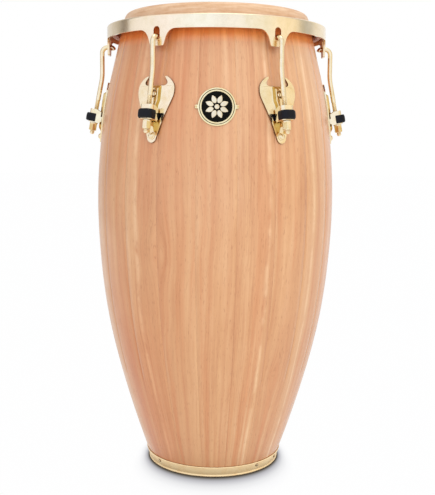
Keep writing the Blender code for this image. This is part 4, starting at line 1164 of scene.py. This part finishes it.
# ------------------------------------------------------------------ tuning nut: flange, hexagon with chamfered corners, bored through
hex_r = NUT_FLATS / math.sqrt(3)
bore = ROD_R + 0.3
hexagon = lathe("hexagon", [(bore - 1.5, -1.2), (hex_r, -1.2), (hex_r, -NUT_HEIGHT), (bore - 1.5, -NUT_HEIGHT)], 6, start=math.radians(30))
turned_env = lathe("envelope", [(0.0, 0.5), (6.86, 0.5), (6.86, -NUT_HEIGHT + 2.0), (6.5, -NUT_HEIGHT + 0.9), (5.4, -NUT_HEIGHT), (0.0, -NUT_HEIGHT)],
                   60, closed=False)
flange = lathe("flange", [(0.0, -GAP), (NUT_FLANGE_R - 0.3, -GAP), (NUT_FLANGE_R, -GAP - 0.3), (NUT_FLANGE_R, -1.7), (6.5, -2.2), (6.05, -2.9),
                          (0.0, -2.9)], 60, closed=False)
nut_bore = lathe("nut_bore", [(0.0, 3.0), (bore, 3.0), (bore, -NUT_HEIGHT + 0.7), (bore + 0.8, -NUT_HEIGHT - 0.1), (bore + 0.8, -NUT_HEIGHT - 3),
                              (0.0, -NUT_HEIGHT - 3)], 36, closed=False)
nut_mesh = bake("nut", lathe("hexagon", [(0.0, -1.2), (hex_r, -1.2), (hex_r, -NUT_HEIGHT), (0.0, -NUT_HEIGHT)], 6, closed=False,
                             start=math.radians(30)),
                ('INTERSECT', turned_env), ('UNION', flange), ('DIFFERENCE', nut_bore))
for m in (GOLD, GOLD_DEEP):
    nut_mesh.materials.append(m)
nut_mesh.shade_smooth()
nut_mesh.set_sharp_from_angle(angle=math.radians(28))
# painted shade: the hexagon's two flanks facing sideways take the darker gold copy
for f in nut_mesh.polygons:
    if abs(f.normal.x) > 0.6 and f.center.z < -0.003 and math.hypot(f.center.x, f.center.y) > 0.0052:
        f.material_index = 1
on_axis(nut_mesh, (0, 0, 0), AX)
for label, az in STATIONS:
    t = math.radians(az)
    at = Matrix.Rotation(t, 3, 'Z') @ (SEAT * MM)
    piece("hook_rod_" + label, hook_mesh, GOLD, "hook_" + label, ["tuning_hook_" + label], turn=t, loc=at, angle=60)
    piece("hex_nut_" + label, nut_mesh, [GOLD, GOLD_DEEP], "nut_" + label, ["tuning_nut_" + label], turn=t, loc=at, bevel=0.18,
          segments=2, angle=28)

# ------------------------------------------------------------------ badge
def dish(name, profile, n=120, tabs=False, z0=BADGE_Z):
    """Round plate that hugs the shell; profile is (radius, height off the wall), from the middle out and back under."""
    verts, rings = [], []
    for r, off in profile:
        if r < 1e-6:
            rings.append([len(verts)])
            verts.append(surf(z0, off, 0))
            continue
        ring = []
        for k in range(n):
            a = TAU * k / n
            rr = r
            if tabs and r > 24.0:
                # the small ear at each side is a circle that swells the outline
                side = abs(math.cos(a))
                y = r * math.sin(a)
                grow = BADGE_TAB - BADGE_R
                width = 3.1
                if side > 0.9 and abs(y) < width * 1.6:
                    reach = PIN_U * side + math.sqrt(max((BADGE_TAB - PIN_U + 0.8) ** 2 - (PIN_U * math.sin(a)) ** 2, 0.0)) \
                        if abs(PIN_U * math.sin(a)) < (BADGE_TAB - PIN_U + 0.8) else 0.0
                    tab = min(reach, BADGE_TAB)
                    if tab > BADGE_R and r > BADGE_R - 1.6:
                        rr = max(r, tab - (BADGE_R - r))
            ring.append(len(verts))
            verts.append(surf(z0 + rr * math.sin(a), off, rr * math.cos(a)))
        rings.append(ring)
    faces = []
    for a, b in zip(rings, rings[1:]):
        for i in range(n):
            j = (i + 1) % n
            if len(a) == 1:
                faces.append((a[0], b[i], b[j]))
            elif len(b) == 1:
                faces.append((a[i], a[j], b[0]))
            else:
                faces.append((a[i], a[j], b[j], b[i]))
    return mesh_of(name, verts, faces)


TOPZ = GAP + 1.6
plate_prof = [(0.0, TOPZ - 0.75), (8.0, TOPZ - 0.75), (16.0, TOPZ - 0.75), (22.5, TOPZ - 0.75), (22.8, TOPZ - 0.7), (23.0, TOPZ - 0.1),
              (23.2, TOPZ + 0.05), (23.9, TOPZ + 0.12), (24.8, TOPZ + 0.05), (25.1, TOPZ - 0.05), (25.35, TOPZ - 0.6), (25.5, TOPZ - 0.68),
              (25.8, TOPZ - 0.68), (25.95, TOPZ - 0.6), (26.15, TOPZ - 0.05), (26.4, TOPZ + 0.02), (27.4, TOPZ + 0.0), (28.1, TOPZ - 0.12),
              (28.45, TOPZ - 0.4), (28.6, TOPZ - 0.8), (28.6, GAP + 0.2), (28.4, GAP), (14.0, GAP), (0.0, GAP)]
badge_mesh = dish("badge_plate", plate_prof, 240, tabs=True)
piece("badge_plate", badge_mesh, GOLD_BADGE, "root", ["badge"], angle=50)
field_mesh = dish("badge_field", [(0.0, TOPZ - 0.45), (10.0, TOPZ - 0.45), (18.0, TOPZ - 0.45), (22.3, TOPZ - 0.46), (22.7, TOPZ - 0.5),
                                  (22.7, TOPZ - 0.7), (10.0, TOPZ - 0.7), (0.0, TOPZ - 0.7)], 120)
piece("badge_field", field_mesh, ENAMEL, "root")
ring_mesh = dish("badge_ring", [(25.30, TOPZ - 0.66), (25.38, TOPZ - 0.30), (25.55, TOPZ - 0.26), (25.80, TOPZ - 0.26), (25.97, TOPZ - 0.30),
                                (26.05, TOPZ - 0.66), (25.30, TOPZ - 0.66)], 200)
piece("badge_ring", ring_mesh, ENAMEL, "root")


def emblem():
    """A plain eight-leaf rosette inside the badge: raised petals and a boss."""
    verts, faces = [], []
    leaves = 8
    n = 18

    def add(outline, off_edge, off_mid, mid):
        base = len(verts)
        for (x, y) in outline:
            verts.append(surf(BADGE_Z + y, TOPZ - 0.5, x))
        for (x, y) in outline:
            verts.append(surf(BADGE_Z + mid[1] + (y - mid[1]) * 0.90, off_edge, mid[0] + (x - mid[0]) * 0.90))
        for (x, y) in outline:
            verts.append(surf(BADGE_Z + mid[1] + (y - mid[1]) * 0.45, off_mid, mid[0] + (x - mid[0]) * 0.45))
        c = len(verts)
        verts.append(surf(BADGE_Z + mid[1], off_mid + 0.05, mid[0]))
        b = len(verts)
        verts.append(surf(BADGE_Z + mid[1], TOPZ - 0.5, mid[0]))
        m = len(outline)
        for i in range(m):
            j = (i + 1) % m
            faces.append((base + i, base + j, base + m + j, base + m + i))
            faces.append((base + m + i, base + m + j, base + 2 * m + j, base + 2 * m + i))
            faces.append((base + 2 * m + i, base + 2 * m + j, c))
            faces.append((base + j, base + i, b))

    for k in range(leaves):
        a = TAU * k / leaves + TAU / 16
        ca, sa = math.cos(a), math.sin(a)
        r0, r1, wmax = 5.6, 18.0, 3.7
        line = []
        for i in range(n + 1):
            f = i / n
            line.append((r0 + (r1 - r0) * f, wmax * math.sin(math.pi * f ** 0.8) ** 0.8 if 0 < f < 1 else 0.0))
        out = [(x, y) for x, y in line] + [(x, -y) for x, y in reversed(line[1:-1])]
        pts = [(x * ca - y * sa, x * sa + y * ca) for x, y in out]
        mid = ((r0 + r1) * 0.53 * ca, (r0 + r1) * 0.53 * sa)
        add(pts, TOPZ - 0.12, TOPZ + 0.12, mid)
    boss = [(3.6 * math.cos(TAU * i / 36), 3.6 * math.sin(TAU * i / 36)) for i in range(36)]
    add(boss, TOPZ - 0.1, TOPZ + 0.2, (0.0, 0.0))
    return mesh_of("badge_rosette", verts, faces)


EMBLEM = gold_material("gold_emblem", (0.86, 0.74, 0.52), (0.78, 0.64, 0.42), (0.24, 0.36), seed=6.0, crevice_shade=0.5)
piece("badge_rosette", emblem(), EMBLEM, "root", angle=50)
for label, u in (("left", -PIN_U), ("right", PIN_U)):
    prof = [(0.0, TOPZ + 0.85), (0.6, TOPZ + 0.8), (1.15, TOPZ + 0.6), (1.5, TOPZ + 0.3), (1.6, TOPZ + 0.05), (1.5, TOPZ - 0.05),
            (0.6, TOPZ - 0.05), (0.6, -3.0), (0.0, -3.6)]
    piece("badge_nail_" + label, turned(prof, BADGE_Z, u, 28, "nail_" + label), GOLD_DEEP, "root", ["badge_pin_" + label], angle=50)

# ------------------------------------------------------------------ floor, light and camera
def floor_material():
    """White sweep: a faint paper tooth, and a tight cool shade round the foot."""
    m = bpy.data.materials.new("floor_pale")
    m.use_nodes = True
    g = Graph.__new__(Graph)
    g.mat, g.nt = m, m.node_tree
    g.nt.nodes.clear()
    x, y, z = g.split(g.coords())
    rr = g.math('SQRT', g.math('ADD', g.math('MULTIPLY', x, x), g.math('MULTIPLY', y, y)))
    # the shade reaches forward of the foot and is thin at its sides
    ahead = g.math('MAXIMUM', g.math('DIVIDE', g.math('MULTIPLY', y, -1.0), g.math('MAXIMUM', rr, 0.01)), 0.0)
    reach = g.math('ADD', 0.24, g.math('MULTIPLY', g.math('POWER', ahead, 1.6), 0.76))
    far = g.math('DIVIDE', g.math('SUBTRACT', rr, 0.1135), reach)
    mm = [(0.0, (0.045, 0.036, 0.030)), (2.5, (0.11, 0.095, 0.075)), (5.0, (0.16, 0.145, 0.13)), (8.0, (0.28, 0.27, 0.265)),
          (12.0, (0.385, 0.38, 0.395)), (16.5, (0.51, 0.505, 0.53)), (25.0, (0.645, 0.64, 0.665)), (33.0, (0.76, 0.76, 0.775)),
          (41.0, (0.845, 0.845, 0.855)), (50.0, (0.895, 0.895, 0.905)), (60.0, (0.95, 0.95, 0.955)), (72.0, (0.975, 0.975, 0.98)),
          (90.0, (1.0, 1.0, 1.0))]
    shade = g.ramp(g.math('DIVIDE', far, 0.1), [(d / 100.0, c) for d, c in mm])
    tooth = g.noise(g.coords(), 260.0, 3.0, 0.6)
    shade = g.mix(1.0, shade, g.ramp(tooth, [(0.3, (0.985, 0.985, 0.99)), (0.6, (1.0, 1.0, 1.0))]), 'MULTIPLY')
    shade = g.mix(g.span(rr, 0.104, 0.098), shade, (0.10, 0.09, 0.085))
    e = g.node("ShaderNodeEmission")
    g.set(e.inputs["Color"], shade)
    g.set(e.inputs["Strength"], 1.0)
    out = g.node("ShaderNodeOutputMaterial")
    g.set(out.inputs[0], e.outputs[0])
    return m


floor_mesh = bpy.data.meshes.new("floor")
bm = bmesh.new()
bmesh.ops.create_circle(bm, cap_ends=True, segments=96, radius=14.0)
bm.to_mesh(floor_mesh)
bm.free()
floor_mesh.materials.append(floor_material())
floor = bpy.data.objects.new("floor", floor_mesh)
floor.location = (0, 0, -0.0002)
bpy.context.scene.collection.objects.link(floor)

world = bpy.data.worlds.new("studio")
bpy.context.scene.world = world
world.use_nodes = True
bg = world.node_tree.nodes["Background"]
bg.inputs[0].default_value = (1.0, 1.0, 1.0, 1)
bg.inputs[1].default_value = 1.0


def area(name, loc, target, size, power, size_y=None, colour=(1, 1, 1)):
    d = bpy.data.lights.new(name, 'AREA')
    d.shape = 'RECTANGLE' if size_y else 'SQUARE'
    d.size = size
    if size_y:
        d.size_y = size_y
    d.energy = power
    d.color = colour
    o = bpy.data.objects.new(name, d)
    o.location = loc
    o.rotation_mode = 'QUATERNION'
    o.rotation_quaternion = (Vector(target) - Vector(loc)).to_track_quat('-Z', 'Y')
    bpy.context.scene.collection.objects.link(o)
    return o


def panel(name, loc, target, width, height, radiance, colour=(1, 1, 1)):
    """A soft light of a given brightness per area."""
    return area(name, loc, target, width, radiance * math.pi * width * height, height, colour)


wall = panel("front_wall", (0.75, -2.9, 1.35), (0, 0, 0.62), 3.2, 2.6, 1.02, (1.0, 0.99, 0.975))
key = panel("key", (2.1, -1.4, 2.5), (0, 0, 0.45), 0.9, 0.9, 4.7)
top = panel("top", (0.2, 0.0, 3.0), (0, 0, 0.4), 1.4, 1.4, 1.4)
for lamp in (wall, key):
    lamp.visible_glossy = False

# a round light tent, seen only in reflections: bright in front, warmer and dimmer to the right, two grey gores at the sides
TENT = ((-180, (0.84, 0.84, 0.86)), (-150, (0.78, 0.78, 0.80)), (-128, (0.66, 0.65, 0.66)), (-119, (0.55, 0.53, 0.52)),
        (-110, (0.27, 0.25, 0.24)), (-102, (0.36, 0.32, 0.30)), (-97, (0.90, 0.92, 1.00)), (-88, (0.98, 1.00, 1.12)),
        (-71, (1.00, 1.04, 1.18)), (-52, (1.06, 1.09, 1.30)), (-30, (1.03, 1.16, 1.40)), (-9, (1.03, 1.17, 1.42)),
        (0, (1.01, 1.12, 1.34)), (5, (1.02, 1.12, 1.32)), (6, (0.84, 0.90, 1.02)), (8, (0.84, 0.90, 1.02)), (9, (1.03, 1.12, 1.32)),
        (21, (1.02, 1.10, 1.28)), (33, (1.00, 1.06, 1.12)), (52, (1.00, 1.00, 0.95)), (66, (1.08, 1.00, 0.85)),
        (80, (1.06, 0.97, 0.79)), (88, (0.97, 0.89, 0.74)), (94, (0.62, 0.60, 0.55)), (103, (0.54, 0.55, 0.55)),
        (112, (0.70, 0.70, 0.70)), (120, (0.92, 0.91, 0.90)), (150, (0.98, 0.98, 0.99)), (180, (1.00, 1.00, 1.00)))


def tent_material():
    m = bpy.data.materials.new("tent_glow")
    m.use_nodes = True
    g = Graph.__new__(Graph)
    g.mat, g.nt = m, m.node_tree
    g.nt.nodes.clear()
    x, y, z = g.split(g.coords())
    az = g.math('ARCTAN2', x, g.math('MULTIPLY', y, -1.0))
    fac = g.math('ADD', g.math('MULTIPLY', az, 1 / TAU), 0.5)
    col = g.ramp(fac, [((a + 180) / 360, tuple(c / 2 for c in rgb)) for a, rgb in TENT])
    soft = g.noise(g.coords(), 0.9, 2.0, 0.5)
    e = g.node("ShaderNodeEmission")
    g.set(e.inputs["Color"], col)
    g.set(e.inputs["Strength"], g.span(soft, 0.3, 0.7, 1.94, 2.06))
    out = g.node("ShaderNodeOutputMaterial")
    g.set(out.inputs[0], e.outputs[0])
    return m


tent_mesh = bpy.data.meshes.new("light_tent")
tb = bmesh.new()
tents = []
for z in (0.02, 4.2):
    tents.append([tb.verts.new((3.6 * math.sin(TAU * k / 96), -3.6 * math.cos(TAU * k / 96), z)) for k in range(96)])
for k in range(96):
    q = (k + 1) % 96
    tb.faces.new((tents[0][k], tents[0][q], tents[1][q], tents[1][k]))
tb.to_mesh(tent_mesh)
tb.free()
tent_mesh.materials.append(tent_material())
tent = bpy.data.objects.new("light_tent", tent_mesh)
bpy.context.scene.collection.objects.link(tent)
for flag in ("visible_camera", "visible_diffuse", "visible_shadow", "visible_transmission", "visible_volume_scatter"):
    setattr(tent, flag, False)

cam_data = bpy.data.cameras.new("camera")
cam_data.sensor_width = 36.0
cam_data.sensor_fit = 'AUTO'
cam_data.lens = 60.80
cam_data.clip_start, cam_data.clip_end = 0.05, 60.0
camera = bpy.data.objects.new("camera", cam_data)
bpy.context.scene.collection.objects.link(camera)
pitch, yaw, roll, spin = 0.12418, -0.00325, 0.00863, math.radians(-0.45)
f = Vector((-math.sin(yaw) * math.cos(pitch), math.cos(yaw) * math.cos(pitch), -math.sin(pitch)))
r = f.cross(Vector((0, 0, 1))).normalized()
u = r.cross(f).normalized()
r2 = r * math.cos(roll) + u * math.sin(roll)
u2 = -r * math.sin(roll) + u * math.cos(roll)
basis = Matrix((r2, u2, -f)).transposed()
turn = Matrix.Rotation(spin, 3, 'Z')
camera.location = turn @ Vector((0.0, -1.44248, 0.54991))
camera.rotation_mode = 'QUATERNION'
camera.rotation_quaternion = (turn @ basis).to_quaternion()
bpy.context.scene.camera = camera

bpy.context.scene.view_settings.view_transform = 'Standard'
bpy.context.scene.view_settings.look = 'None'
